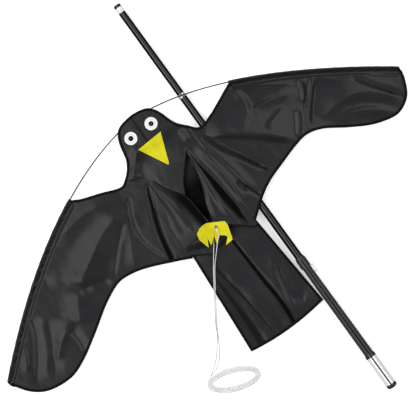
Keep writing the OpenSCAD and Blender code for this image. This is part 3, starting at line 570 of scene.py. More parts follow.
def wing_top(x):
    """Upper outline of a wing: under the sleeve's hem, and along the shoulder's dip nearer than that."""
    edge = bow(x) - (SLEEVE_W / 2 + SLEEVE_IN - HEM_LAP) * bow_stretch(x)
    left, right = through(LEFT_SHOULDER, SHOULDER_STEPS), through(RIGHT_SHOULDER, SHOULDER_STEPS)
    out = (np.abs(x) - SEAM) / (SLEEVE_START - SEAM)
    dip = np.where(x < 0, np.interp(out, *left.T), np.interp(out, *right.T)) * NECK_Y
    return np.where((x < -LEFT_START) | (x > RIGHT_START), edge, dip)


def wing_grid(side, trail_shares, reach, start):
    """Points between the wing's two outlines at the same x, lifted by the lie of the sail and its folds.

    The folds fade under the sleeve, and the panel is pressed down where it goes under the body."""
    trail = through(np.multiply(trail_shares, (reach, WING_DEPTH)), WING_COLUMNS)
    x = side * np.maximum(trail[:, :1], SEAM - SEW_LAP) + np.zeros(WING_ROWS)
    top = wing_top(x[:, :1])
    low = np.minimum(trail[:, 1:], top - TAPE_W)
    y = mix(top, low, np.linspace(0, 1, WING_ROWS))
    free = 1 - smooth((y - top + SLEEVE_GRIP) / GRIP_FADE) * (np.abs(x) > start)
    under_body = BODY_PRESS * smooth((SEAM + SEW_LAP - np.abs(x)) / SEW_LAP)
    z = lay(x, y) + CLOTH_T / 2 + wing_folds(x, y) * free - under_body
    return np.stack([x, y, rest(z)], -1)


left_grid = wing_grid(-1, LEFT_TRAIL_SHARES, LEFT_REACH, LEFT_START)
right_grid = wing_grid(1, RIGHT_TRAIL_SHARES, RIGHT_REACH, RIGHT_START)
left_sail = cloth_piece("left_sail", left_grid, SAIL_T, creases(left_grid, LEFT_CREASES))
right_sail = cloth_piece("right_sail", right_grid, SAIL_T, creases(right_grid, RIGHT_CREASES))

# %% [markdown]
# The head and body are one panel. Its throat ends in a bib with a point, below which the cloth sinks into
# the pocket between the keel flaps. A separate bib would leave a seam that the real one doesn't have, so
# the bib is a step in the one surface.

# %% Body panel
LEFT_HEAD = [(0.06, 1), (0.36, 0.97), (0.56, 0.9), (0.68, 0.76), (0.75, 0.6), (0.8, 0.4), (0.86, 0.2), (1, 0)]
RIGHT_HEAD = [
    (-0.06, 1), (0.2, 0.97), (0.4, 0.9), (0.53, 0.76), (0.61, 0.6), (0.68, 0.4), (0.79, 0.2), (1, 0),
]
BIB_EDGE = [(-94, 232), (-66, 199), (-45, 152), (-14, 107), (3, 140), (50, 194), (94, 240)]
BIB_LIFT, BIB_STEP, BIB_TOP_FADE, BIB_HALF, BIB_SIDE_FADE = 5, 4, 70, 70, 25
POCKET_DEPTH, POCKET_SLOPE, POCKET_HALF, POCKET_SIDE_FADE = 13, 14, 64, 16
POCKET_FOOT, POCKET_FOOT_FADE = 6, 30
# How far the hem hangs below the notch, at places across the body
LAP_AT, LAP, LAP_TOP = (-94, -45, 5, 35, 60, 86, 94), (-14, 15, 2, -16, 2, 22, 22), 40
HEM_ABOVE, HEM_FADE, HEM_LIFT, HEM_ROWS, HEM_SHADE = 50, 30, 3, 2, 0.85
SHADE_TOP, SHADE_FADE, SHADE_LEAST = 168, 70, 0.4
HEAD_ROWS, BODY_ROWS, BODY_COLUMNS = 70, 190, 110


def head_outline(side, shares):
    """One side of the head from its top to the neck, as a smooth curve."""
    return through(np.multiply(shares, (side * SEAM, HEAD_Y - NECK_Y)) + (0, NECK_Y), HEAD_ROWS)


def pocket(x, y):
    """Height of the bib over the cloth below it less the depth of the hollow below it, and the hollow's
    share, which also gives the pocket's painted shade.

    Each is a product of smooth steps, one for every side on which it ends."""
    edge = np.interp(x, *np.array(BIB_EDGE).T)
    above = smooth((y - edge) / BIB_STEP + 0.5)
    lift = (BIB_LIFT * above * smooth((NECK_Y - y) / BIB_TOP_FADE)
            * smooth((BIB_HALF - np.abs(x)) / BIB_SIDE_FADE))
    sides = smooth((POCKET_HALF - np.abs(x)) / POCKET_SIDE_FADE)
    hollow = (1 - above) * smooth((y - POCKET_FOOT) / POCKET_FOOT_FADE) * sides
    return lift - POCKET_DEPTH * hollow * smooth((edge - y) / POCKET_SLOPE), hollow


def body_grid():
    """Rows from the head's top to the body's hem over the tail, each from the left side to the right.

    Also gives the share of painted shade: the greatest of the pocket's, the hem's and the creases'."""
    down = np.linspace(NECK_Y, -NOTCH_Y, BODY_ROWS - HEAD_ROWS + 1)[1:]
    flank = np.stack([np.full_like(down, SEAM), down], -1)
    left = np.concatenate([head_outline(-1, LEFT_HEAD), flank * (-1, 1)])
    right = np.concatenate([head_outline(1, RIGHT_HEAD), flank])
    g = np.linspace(0, 1, BODY_COLUMNS)
    x = mix(left[:, :1], right[:, :1], g)
    y = mix(left[:, 1:], right[:, 1:], g)
    y = y - np.interp(x, LAP_AT, LAP) * smooth((LAP_TOP - y) / (LAP_TOP + NOTCH_Y))
    height, hollow = pocket(x, y)
    z = body_lay(x, y) + CLOTH_T / 2 + wing_folds(x, y) + height
    hem = smooth((HEM_ABOVE - NOTCH_Y - y) / HEM_FADE) * HEM_LIFT
    points = np.stack([x, y, z + hem], -1)
    # Painted shade in the pocket, lighter towards its top.
    shade = hollow * mix(SHADE_LEAST, 1, smooth((SHADE_TOP - y) / SHADE_FADE))
    # Painted shade along the hem's last rows.
    stitches_and_hem_shade = np.where(np.arange(len(x)) < len(x) - HEM_ROWS, 0, HEM_SHADE)[:, None]
    return points, np.maximum(np.maximum(shade, stitches_and_hem_shade), creases(points, BODY_CREASES))


body_points, body_shade = body_grid()
body_sail = cloth_piece("body_sail", body_points, SAIL_T, body_shade)

# %% [markdown]
# The tail is a plain flared panel with long folds from the seam to its end. A plane could be cut to its
# outline and displaced, but a grid that widens from the seam to the bulged end follows the cut by itself.
# Its folds are a list of their own.

# %% Tail panel
TAIL_TOP_HALF, TAIL_HALF, TAIL_OFF, TAIL_BULGE, TAIL_TUCK = 88, 110, 2, 9, 22
TAIL_LIFT, TAIL_LIFT_FROM, TAIL_LIFT_FADE = (1, 6), 110, 130
TAIL_FREE, TAIL_FREE_FADE, TAIL_SINK = 40, 60, 1.5
TAIL_FOLDS = [
    ([(226, 236), (233, 243), (253, 267), (275, 294), (293, 322)], -5, 9, 28, (0.15, 0.02)),
    ([(217, 269), (230, 283), (246, 298), (271, 332)], -2.5, 14, 20, (0.3, 0.1)),
    ([(221, 285), (238, 302), (250, 318), (264, 342)], -3.5, 16, 32, (0.35, 0.02)),
    ([(272, 247), (273, 266), (278, 282), (292, 318)], 3.5, 14, 22, (0.3, 0.2)),
    ([(276, 253), (285, 274), (298, 300)], 2.2, 14, 12),
    ([(292, 300), (299, 298), (307, 299)], -3, 18, 18),
    ([(231, 236), (240, 238), (253, 240)], 3, 12, 12),
    ([(303, 285), (310, 292), (317, 301)], 1.8, 12, 12),
]
TAIL_ROWS, TAIL_COLUMNS = 150, 120


def tail_grid():
    """Point (f, g): the seam widens to the tail's end with f, and the end bulges in a parabola of g.

    The top is tucked under the body's hem, so the folds fade there, and all of it lies a little lower."""
    f = np.linspace(0, 1, TAIL_ROWS)[:, None]
    g = np.linspace(-1, 1, TAIL_COLUMNS)
    x = TAIL_OFF + mix(TAIL_TOP_HALF, TAIL_HALF, f) * g
    y = mix(TAIL_TUCK - NOTCH_Y, -TAIL_Y, f) - TAIL_BULGE * f * (1 - g**2)
    folds = sum(fold(x, y, *row) for row in TAIL_FOLDS)
    folds = folds + crinkle(x, y, 5, 0.5) + crinkle(x, y, 6, 0.1, FINE_PITCHES)
    lift = mix(*TAIL_LIFT, smooth((-y - TAIL_LIFT_FROM) / TAIL_LIFT_FADE))
    free = smooth((TAIL_FREE - NOTCH_Y - y) / TAIL_FREE_FADE)
    z = lay(x, y) + CLOTH_T / 2 + (folds + lift) * free - TAIL_SINK
    return np.stack([x, y, rest(z)], -1)


tail_points = tail_grid()
tail_sail = cloth_piece("tail_sail", tail_points, SAIL_T, creases(tail_points, TAIL_CREASES))

# %% [markdown]
# The keel is a pair of flaps that stand off the body and meet at the claws, where the line pulls. Each is
# sewn along its outer side and free along its inner edge. Flat triangles would look like card, so each is
# a surface that runs from the seam up over a rolled ridge and on to the free edge.

# %% Keel flaps
KEEL_TOP, KEEL_FOOT, KEEL_H = 200, 4, 26
KEEL_SHARP, KEEL_CRINKLE, KEEL_RIPPLE = 0.9, 0.8, 1.6
KEEL_ROWS, KEEL_COLUMNS = 120, 90
# Shares of the way from the shoulder to the claws at which the ridge and the free edge are given
KEEL_WAY = (0, 0.15, 0.5, 0.8, 1)


def left_flap_shade(f, g, place):
    """Painted shade on the left flap: its side behind the ridge, away from the light, and less at its foot.
    """
    behind = smooth((g - place - 0.04) / 0.3) * smooth((f - 0.05) / 0.5) * smooth((1 - g) / 0.03)
    return np.maximum(behind, 0.4 * smooth((f - 0.8) / 0.15))


def right_flap_shade(f, g, place):
    """Painted shade on the right flap: a wedge between its seam and its ridge, away from the light."""
    return smooth((0.86 * place - g) / (0.3 * place)) * smooth(f / 0.1) * smooth((1.02 - f) / 0.14)


LEFT_KEEL = {
    "edge": [(0.74, 0), (0.47, 0.26), (0.15, 0.5), (0.08, 0.78), (0.04, 1)],
    "seam": (0.78, 1.28), "seam_bulge": 9, "seam_foot": 0.1, "power": 1.2, "painted_matte": left_flap_shade,
    "ridge": (1, 5, 10, 14, 15), "free": (0.5, 2, 4, 13, KEEL_H), "ridge_at": (0.62, 0.58, 0.5, 0.56, 0.6),
}
RIGHT_KEEL = {
    "edge": [(0.6, 0), (0.42, 0.44), (0.17, 0.75), (0.03, 1)],
    "seam": (0.66, 0.93), "seam_bulge": 3, "seam_foot": 1.3, "power": 0.8, "painted_matte": right_flap_shade,
    "ridge": (1, 7, 14, 17, 18), "free": (0.5, 3, 7, 15, KEEL_H), "ridge_at": (0.7, 0.66, 0.56, 0.42, 0.34),
}


def keel_grid(side, edge, seam, seam_bulge, seam_foot, power, painted_matte, ridge, free, ridge_at):
    """Point (f, g): f runs from the shoulder to the claws, g from the seam to the free edge.

    The height over the body rises from the seam to the ridge by a power of g and runs straight from there
    to the free edge. Where that edge is lower than the ridge, the soft minimum of both rounds the ridge."""
    shares = np.array(edge)
    inner = np.stack([shares[:, 0] * SEAM * side, mix(KEEL_TOP, KEEL_FOOT, shares[:, 1])], -1)
    inner = through(inner, KEEL_ROWS)
    f = np.linspace(0, 1, KEEL_ROWS)[:, None]
    g = np.linspace(0, 1, KEEL_COLUMNS)
    x = mix(side * (SEAM * mix(*seam, f) + seam_bulge * np.sin(np.pi * f)), inner[:, :1], g)
    y = mix(mix(KEEL_TOP, -seam_foot * NOTCH_Y, f), inner[:, 1:], g)
    top, end, place = (np.interp(f, KEEL_WAY, row) for row in (ridge, free, ridge_at))
    rise = top * (g / place) ** power
    run = top + (end - top) * (g - place) / (1 - place)
    rounded = -np.logaddexp(-KEEL_SHARP * rise, -KEEL_SHARP * run) / KEEL_SHARP
    height = np.where(end > top, np.where(g > place, np.maximum(run, 0), rise), rounded)
    base = body_lay(x, y) + CLOTH_T + SOFT_GAP + SAIL_T
    wave = crinkle(x, y, 8 + side, KEEL_CRINKLE) * np.sin(np.pi * g) * smooth(f / 0.2)
    ripple = KEEL_RIPPLE * np.sin(np.pi * f) * np.sin(9 * np.pi * g / 2 + 2 * f) * np.sin(np.pi * g)
    return np.stack([x, y, base + height + wave + ripple], -1), painted_matte(f, g, place)


left_keel_points, left_keel_shade = keel_grid(-1, **LEFT_KEEL)
right_keel_points, right_keel_shade = keel_grid(1, **RIGHT_KEEL)
left_flap = cloth_piece("left_flap", left_keel_points, SAIL_T, left_keel_shade)
right_flap = cloth_piece("right_flap", right_keel_points, SAIL_T, right_keel_shade)

# %% [markdown]
# The bow is two drawn glass fibre rods in cloth sleeves. The rods are circles carried along the bow. A
# sleeve is a folded strip that is sewn beside the rod. A plain tube would look stiff, so its section is a
# round over the rod that tapers to a flat hem, puckered a little by the stitches.

# %% Bow rods and sleeves
SLEEVE_U = (-13, -11.5, -8, -5, -2.6, -1, 0.6, 2, 3.2, 4, 4, 3.2, 1.6, -1, -5, -9, -13)
SLEEVE_V = (-2.1, -1.7, -0.8, 0.6, 1.9, 2.6, 2.8, 2.5, 1.7, 0.6, -0.7, -1.9, -2.7, -2.9, -2.9, -2.9, -2.8)
PUCKERS, PUCKER_PITCHES, PUCKER_SIDE, PUCKER_UP = 6, (14, 60), 0.5, 1.5
SLACK_AT, SLACK_WIDTH, SLACK_ABOVE, FOLD_BEYOND = -6, 4, -2, 3
ROD_POINTS, ROD_SIDES, SLEEVE_POINTS, SLEEVE_ANGLE = 160, 14, 260, 70


def rod_path(x0, x1, count):
    """Points along the bow between two places, at the rod's height in its sleeve."""
    x = np.linspace(x0, x1, count)
    return np.stack([x, bow(x), lay(x, bow(x)) + SLEEVE_H / 2], -1)


def circle(radius, sides):
    """Corners of a circle, counter-clockwise."""
    a = np.linspace(0, 2 * np.pi, sides, endpoint=False)
    return radius * np.stack([np.cos(a), np.sin(a)], -1)


def sleeve_profile(run, seed):
    """Section of the sleeve: round over the rod at its outer fold, and flat towards the hem.

    A seeded sum of sines along the run puckers the slack cloth beside the rod and shifts the outer fold."""
    u, v = np.array(SLEEVE_U)[::-1], np.array(SLEEVE_V)[::-1]
    rng = np.random.default_rng(seed)
    phase = rng.uniform(0, 6, PUCKERS)
    pitch = rng.uniform(*PUCKER_PITCHES, PUCKERS)
    ripple = np.sin(2 * np.pi * run[:, None] / pitch + phase).sum(1)[:, None] / PUCKERS
    slack = np.exp(-(((u - SLACK_AT) / SLACK_WIDTH) ** 2)) * (v > SLACK_ABOVE)
    return np.stack([u + PUCKER_SIDE * ripple * (u > FOLD_BEYOND), v + PUCKER_UP * ripple * slack], -1)


def bow_rod(name, x0, x1):
    """One rod as a circle carried along the bow."""
    path = rod_path(x0, x1, ROD_POINTS)
    return carried_piece(name, path, sideways(path), circle(ROD_D / 2, ROD_SIDES))


def bow_sleeve(name, x0, x1, seed):
    """One sleeve as its rippled section carried along the bow."""
    path = rod_path(x0, x1, SLEEVE_POINTS)
    return carried_piece(name, path, sideways(path), sleeve_profile(run_of(path), seed), sharp=SLEEVE_ANGLE)


left_bow = bow_rod("left_bow_rod", -LEFT_END, -SOFT_GAP / 2)
right_bow = bow_rod("right_bow_rod", SOFT_GAP / 2, RIGHT_END)
left_casing = bow_sleeve("left_casing", -LEFT_END, -LEFT_START, 3)
right_casing = bow_sleeve("right_casing", RIGHT_START, RIGHT_END + TIP_LAP, 4)

# %% [markdown]
# All free edges are bound with a folded black tape that laps a few millimetres onto the panel. A bevelled
# curve would be round, so the tape's section is a flat loop round the cloth's edge. The edge's own points
# carry it, so it follows every fold.

# %% Edge tapes
TAPE_U = (-TAPE_LAP, 0, 3.4, 4.6, 5.2, 5.2, 4.6, 3.4, 0, -TAPE_LAP)
TAPE_V = (-0.6, -0.75, -0.85, -0.7, -0.3, 0.3, 0.7, 0.85, 0.75, 0.6)
TAPE_STEP, TAPE_POINTS_LEAST, TAPE_ANGLE = 3, 8, 60
TAPE_RAISE, TAPE_RIPPLE, TAPE_WAVES = 0.35, 0.25, (3.1, 11.3)
TIP_TUCK = np.array([2, -2, -1])
TAIL_TAPE_ROW = 3


def tape_profile():
    """Section of a folded tape: flat, rounded at the fold, from the lap on the panel to the outer edge."""
    return np.stack([np.array(TAPE_U) + SOFT_GAP, np.array(TAPE_V) * TAPE_T / 2], -1)


def edge_tape(name, *edges):
    """Tape along edges, listed one after another with the cloth on their right, with small sewing ripples.

    The ripple is the product of two sines of the run, and no point goes below the table."""
    paths = []
    for edge in edges:
        run = run_of(edge)
        steady = np.linspace(0, run[-1], max(int(run[-1] / TAPE_STEP), TAPE_POINTS_LEAST))
        paths.append(straight(steady, run, edge))
    path = np.concatenate([paths[0], *(p[1:] for p in paths[1:])])
    run = run_of(path)
    ripple = TAPE_RIPPLE * np.sin(run / TAPE_WAVES[0]) * np.sin(run / TAPE_WAVES[1])
    path[:, 2] = np.maximum(path[:, 2] + TAPE_RAISE + ripple, TAPE_T / 2)
    return carried_piece(name, path, sideways(path), tape_profile(), sharp=TAPE_ANGLE)


def shoulder_edge(grid, start):
    """Points of a wing's upper edge from the neck to just under its sleeve."""
    out = np.abs(grid[:, 0, 0])
    return grid[(out > SEAM + TAPE_W) & (out < start + TAPE_LAP), 0]


left_tip, right_tip = rod_path(-LEFT_END, RIGHT_END, 2)
left_edge = np.concatenate([left_grid[1:, -1], [left_tip + TIP_TUCK]])
right_edge = np.concatenate([[right_tip + TIP_TUCK * (-1, 1, 1)], right_grid[:0:-1, -1]])
head_left, head_right = body_points[:HEAD_ROWS, 0], body_points[:HEAD_ROWS, -1]
head_edge = np.concatenate([
    shoulder_edge(left_grid, LEFT_START)[::-1], head_left[::-1], head_right[1:],
    shoulder_edge(right_grid, RIGHT_START),
])
tail_right, tail_left = tail_points[TAIL_TAPE_ROW:, -1], tail_points[TAIL_TAPE_ROW:, 0]
left_binding = edge_tape("left_binding", left_edge)
right_binding = edge_tape("right_binding", right_edge)
head_binding = edge_tape("head_binding", head_edge)
tail_binding = edge_tape("tail_binding", tail_right, tail_points[-1, ::-1], tail_left[::-1])

# %% [markdown]
# The beak is a yellow cloth triangle, folded down its middle and sewn on the head. A flat patch would look
# printed, so it is a grid that stands up along its crease. Its two dark lines are shares at the grid's
# points, as the sail's creases are: painted shade along the crease, and the seam inside its border.

# %% Beak
BEAK_W, BEAK_L, BEAK_TOP, BEAK_TIP_SHARE, FACE_OFF = 74, 78, 276, 0.05, 9.5
BEAK_BULGE, BEAK_ROUND, BEAK_LEAN, BEAK_SKEW = 3, 0.006, (0.66, 0.19), 2
BEAK_HEM, BEAK_SEAM, BEAK_SEAM_SHARE, BEAK_CREASE = 2.8, 0.8, 0.6, 0.04
PATCH_T, BEAK_ROWS, BEAK_COLUMNS = 0.8, 100, 97
BEAK_F = np.linspace(0, 1, BEAK_ROWS)[:, None]
BEAK_G = np.linspace(-1, 1, BEAK_COLUMNS)
BEAK_HALF = BEAK_W / 2 * mix(1, BEAK_TIP_SHARE, BEAK_F)


def head_surface(x, y):
    """Top of the head's cloth with its folds."""
    return body_lay(x, y) + CLOTH_T / 2 + SAIL_T / 2 + wing_folds(x, y) + pocket(x, y)[0]


def beak_grid():
    """Triangle folded along its middle: the crease is highest at the top and flattens to the tip."""
    x = BEAK_HALF * BEAK_G - FACE_OFF * mix(*BEAK_LEAN, BEAK_F)
    y = BEAK_TOP - BEAK_L * BEAK_F + BEAK_SKEW * BEAK_G * (1 - BEAK_F)
    bulge = BEAK_BULGE * (1 - np.sqrt(BEAK_G**2 + BEAK_ROUND)) * (1 - BEAK_F / 2)
    return np.stack([x, y, head_surface(x, y) + PATCH_T / 2 + SOFT_GAP + bulge], -1)


def beak_lines():
    """Shares of the dark lines on the beak, as bell curves across its crease, which is painted shade, and
    across its seam.
    """
    inside = np.minimum(BEAK_HALF * (1 - np.abs(BEAK_G)), BEAK_L * BEAK_F)
    seam = np.exp(-(((inside - BEAK_HEM) / BEAK_SEAM) ** 2))
    return np.maximum(np.exp(-((BEAK_G / BEAK_CREASE) ** 2)), BEAK_SEAM_SHARE * seam)


beak_patch = cloth_piece("beak_patch", beak_grid(), PATCH_T, beak_lines())

# %% [markdown]
# The eyes are two white discs with black pupils on them. A flat cylinder would cut into the head's folds,
# so a disc is a polar grid laid on the head's surface. Its UV holds the radius and the angle, so that
# rings are easy to paint.

# %% Eyes
EYE_D, PUPIL_D, EYE_GAP, EYE_Y = 34, 13, 65, 309
EYE_DOME, PUPIL_DOME = 0.6, 1.2
DISC_SPOKES, FLAT_RINGS, FLAT_SHARE = 64, 14, 0.94
# Shares of the radius, and drops in patch thicknesses, of the rings round the rim and under the disc
RIM_SHARES, RIM_DROPS = (0.975, 1, 1, 0), (0.15, 0.45, 0.9, 0.9)


def disc_piece(name, diameter, lift, dome):
    """Two round patches: polar grids on the head, domed by a parabola, closed by a rim below."""
    share = np.concatenate([np.linspace(0, FLAT_SHARE, FLAT_RINGS), RIM_SHARES])
    drop = np.concatenate([np.zeros(FLAT_RINGS), RIM_DROPS]) * PATCH_T
    a = np.linspace(0, 2 * np.pi, DISC_SPOKES + 1)
    spoke = np.arange(DISC_SPOKES)
    i, k = (v.ravel() for v in np.meshgrid(np.arange(len(share) - 1), spoke, indexing="ij"))
    here, after = i * DISC_SPOKES, (i + 1) * DISC_SPOKES
    nxt = (k + 1) % DISC_SPOKES
    quads = np.stack([here + k, after + k, after + nxt, here + nxt], -1)
    corners = np.stack([
        np.stack([share[i], share[i + 1], share[i + 1], share[i]], -1),
        np.stack([a[k], a[k], a[k + 1], a[k + 1]], -1),
    ], -1).reshape(-1, 2) / MM
    points, faces = [], []
    for side in (-1, 1):
        x = side * EYE_GAP / 2 - FACE_OFF + diameter / 2 * share[:, None] * np.cos(a[:-1])
        y = EYE_Y + diameter / 2 * share[:, None] * np.sin(a[:-1])
        z = head_surface(x, y) + lift + PATCH_T + dome * (1 - share[:, None] ** 2) - drop[:, None]
        z[-1] = z[-2].mean()
        faces.append(quads + sum(map(len, points)))
        points.append(np.stack([x, y, z], -1).reshape(-1, 3))
    return new_piece(name, np.concatenate(points), np.concatenate(faces).tolist(), [corners, corners])


eye_patches = disc_piece("eye_patches", EYE_D, SOFT_GAP, EYE_DOME)
pupil_patches = disc_piece("pupil_patches", PUPIL_D, SOFT_GAP + PATCH_T + EYE_DOME, PUPIL_DOME)

# %% [markdown]
# The claws are two yellow cloth pieces with pointed toes, held together by the eyelet. A fan from the
# eyelet would fill the gaps between the toes, so each piece is spun between an upper and a lower edge that
# are given as pairs of points, and the quads inside the eyelet's hole are left out.

# %% Claws
CLAW_W, CLAW_L, CLAW_T, CLAW_TURN = 78, 66, 1.6, math.radians(-36)
CLAW_SHEET, CLAW_STEPS, CLAW_ROWS = 0.9, 14, 44
CLAW_WAVE, FRONT_CURL, BACK_CURL = (7, 11), 1.6, 1.2
LEFT_DARK_FROM, LEFT_DARK_FADE, LEFT_DARK_SHARE = 6, 8, 0.7
FRONT_CLAW = [
    ((-0.36, 0.1), (-0.3, -0.38)), ((-0.25, 0.17), (-0.15, -0.71)), ((-0.1, 0.19), (-0.06, -0.33)),
    ((0.05, 0.21), (0.03, -0.67)), ((0.18, 0.23), (0.13, -0.31)), ((0.29, 0.24), (0.27, -0.31)),
    ((0.39, 0.09), (0.38, -0.36)), ((0.55, -0.48), (0.33, -0.7)),
]
BACK_CLAW = [
    ((0.15, 0.18), (0.15, -0.15)), ((-0.1, 0.175), (-0.1, -0.22)), ((-0.32, 0.16), (-0.22, -0.32)),
    ((-0.45, 0.06), (-0.28, -0.4)), ((-0.55, -0.06), (-0.277, -0.48)), ((-0.63, -0.26), (-0.267, -0.58)),
    ((-0.55, -0.5), (-0.25, -0.7)), ((-0.27, -0.77), (-0.235, -0.79)),
]
EYELET_AT, EYELET_BARREL = (2, -6), 6
CLAW_Z = float(body_lay(0, KEEL_FOOT)) + 2 * CLOTH_T + KEEL_H + 2 * SOFT_GAP


def claw_grid(pairs, height, curl):
    """Rows spun between pairs of edge points, turned on the kite and curled up away from the eyelet."""
    pairs = np.multiply(pairs, (CLAW_W, CLAW_L))
    number = np.arange(len(pairs))
    s = np.linspace(0, number[-1], CLAW_STEPS * number[-1] + 1)
    top, low = (straight(s, number, pairs[:, k]) for k in (0, 1))
    flat = mix(top[:, None], low[:, None], np.linspace(0, 1, CLAW_ROWS)[:, None])
    c, n = math.cos(CLAW_TURN), math.sin(CLAW_TURN)
    flat = flat @ np.array([[c, n], [-n, c]])
    far = np.linalg.norm(flat, axis=-1) / CLAW_L
    wave = 0.5 + 0.5 * np.sin(flat[..., 0] / CLAW_WAVE[0] + flat[..., 1] / CLAW_WAVE[1])
    z = height + CLAW_T / 2 + curl * far**2 * wave
    return np.concatenate([flat + EYELET_AT, z[..., None]], -1)


def claw_piece(name, pairs, height, curl):
    """One claw sheet, open inside the eyelet's barrel and darker to the left of it."""
    grid = claw_grid(pairs, height, curl)
    hole = np.linalg.norm(grid[..., :2] - EYELET_AT, axis=-1) < EYELET_BARREL / 2
    darkening = LEFT_DARK_SHARE * smooth((EYELET_AT[0] - LEFT_DARK_FROM - grid[..., 0]) / LEFT_DARK_FADE)
    return cloth_piece(name, grid, CLAW_SHEET, darkening, ~hole)


front_claw_sheet = claw_piece("front_claw_sheet", FRONT_CLAW, CLAW_Z + CLAW_T + SOFT_GAP, FRONT_CURL)
back_claw_sheet = claw_piece("back_claw_sheet", BACK_CLAW, CLAW_Z, BACK_CURL)

# %% [markdown]
# Each finish is a small node tree. A wrapped socket lets the maths be written as Python expressions, and
# one method adds any other node, so a recipe reads from top to bottom.

# %% Shader helpers
class Value:
    """A shader value: Python's operators on it add Math nodes."""

    def __init__(self, finish, socket):
        self.finish, self.socket = finish, socket

    def math(self, operation, *others):
        """Any Math node on this value and others."""
        return self.finish.add("ShaderNodeMath", {"operation": operation}, dict(enumerate((self, *others))))

    def __add__(self, other):
        return self.math("ADD", other)

    def __sub__(self, other):
        return self.math("SUBTRACT", other)

    def __rsub__(self, other):
        return self * -1 + other

    def __mul__(self, other):
        return self.math("MULTIPLY", other)

    def __pow__(self, other):
        return self.math("POWER", other)

    __radd__, __rmul__ = __add__, __mul__

    def between(self, low, high):
        """0 below low, 1 above high, and a straight ramp between."""
        limits = {0: self, 1: low, 2: high, 3: 0.0, 4: 1.0}
        return self.finish.add("ShaderNodeMapRange", {"clamp": True}, limits)

    def axis(self, number):
        """One of a vector's values."""
        return self.finish.add("ShaderNodeSeparateXYZ", None, {0: self}, number)


class Finish:
    """A material whose nodes are added one by one."""

    def __init__(self, name):
        self.material = bpy.data.materials.new(name)
        self.material.use_nodes = True
        self.tree = self.material.node_tree
        self.tree.nodes.clear()

    def add(self, kind, settings=None, sockets=None, out=0):
        """Any node: its settings first, then numbers or links for its sockets; returns one output."""
        node = self.tree.nodes.new(kind)
        for name, value in (settings or {}).items():
            setattr(node, name, value)
        for name, value in (sockets or {}).items():
            if isinstance(value, Value):
                self.tree.links.new(value.socket, node.inputs[name])
            else:
                node.inputs[name].default_value = value
        return Value(self, node.outputs[out])

    def place(self):
        """Object coordinates, in metres."""
        return self.add("ShaderNodeTexCoord", out="Object")

    def cloth_uv(self):
        """The piece's own UV map: metres along and across, or a disc's radius and angle."""
        return self.add("ShaderNodeUVMap", {"uv_map": "cloth"})

    def shade_and_dark_marks(self):
        """The share of painted shade and dark marks that is kept at the piece's points."""
        return self.add("ShaderNodeAttribute", {"attribute_name": "shade_and_dark_marks"}, out="Fac")

    def flanks(self, low, high):
        """0 where a surface faces the viewer and 1 where it turns away, between two limits of the facing."""
        return self.add("ShaderNodeLayerWeight", None, {"Blend": 0.5}, "Facing").between(low, high)

    def noise(self, vector, scale, detail=3.0, stretch=None):
        """Noise from 0 to 1, stretched along an axis where asked."""
        if stretch:
            vector = self.add("ShaderNodeMapping", None, {"Vector": vector, "Scale": stretch})
        return self.add("ShaderNodeTexNoise", None, {"Vector": vector, "Scale": scale, "Detail": detail})

    def blend(self, factor, a, b):
        """Colour between a and b."""
        return self.add("ShaderNodeMix", {"data_type": "RGBA"}, {0: factor, 6: a, 7: b}, 2)

    def bump(self, height, distance, strength=1.0):
        """Normal from a height in shares of the distance."""
        sockets = {"Height": height, "Distance": distance, "Strength": strength}
        return self.add("ShaderNodeBump", None, sockets, "Normal")

    def coat(self, **sockets):
        """The Principled shader alone."""
        named = {name.replace("_", " "): value for name, value in sockets.items()}
        named = {name if name != "Specular" else "Specular IOR Level": value for name, value in named.items()}
        return self.add("ShaderNodeBsdfPrincipled", None, named)

    def layered(self, share, under, over):
        """Two shaders, with the second one in its share."""
        return self.add("ShaderNodeMixShader", None, {0: share, 1: under, 2: over})

    def surface(self, shader=None, **sockets):
        """A shader, or else the Principled one with these sockets, on the material's output."""
        shader = shader or self.coat(**sockets)
        output = self.tree.nodes.new("ShaderNodeOutputMaterial")
        self.tree.links.new(shader.socket, output.inputs["Surface"])
        return self.material


def grey(level, blue=0.0):
    """A grey with a slight blue cast."""
    return (level, level, level * (1 + blue), 1)


def cad(*names):
    """CAD pieces by their nodes' names."""
    return [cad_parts[name] for name in names]


def dress(material, slot, *pieces):
    """Gives pieces their material; the slot is not used."""
    for piece in pieces:
        piece.data.materials.clear()
        piece.data.materials.append(material)
    print(material.name, [piece.name for piece in pieces])

# %% [markdown]
# The sail is coated ripstop cloth: a fine plain weave with thicker threads every few millimetres, and a
# soft sheen from the coating. A picture of cloth would have one sharpness only, so threads are cosines of
# the UV, which is in metres, and the grid keeps its size on every panel.

# %% Sail cloth
RIPSTOP, THREAD = 5.5 * MM, 0.55 * MM


def stripe(value, pitch, sharpness):
    """1 on thin lines a pitch apart and 0 between: a cosine raised to a power."""
    return (((value * (2 * math.pi / pitch)).math("COSINE") * 0.5) + 0.5) ** sharpness


def weave(uv):
    """Plain weave: the product of two stripes."""
    return stripe(uv.axis(0), THREAD, 1) * stripe(uv.axis(1), THREAD, 1)


def ripstop(uv, sharpness):
    """Grid of thicker threads: the greater of two stripes."""
    return stripe(uv.axis(0), RIPSTOP, sharpness).math("MAXIMUM", stripe(uv.axis(1), RIPSTOP, sharpness))


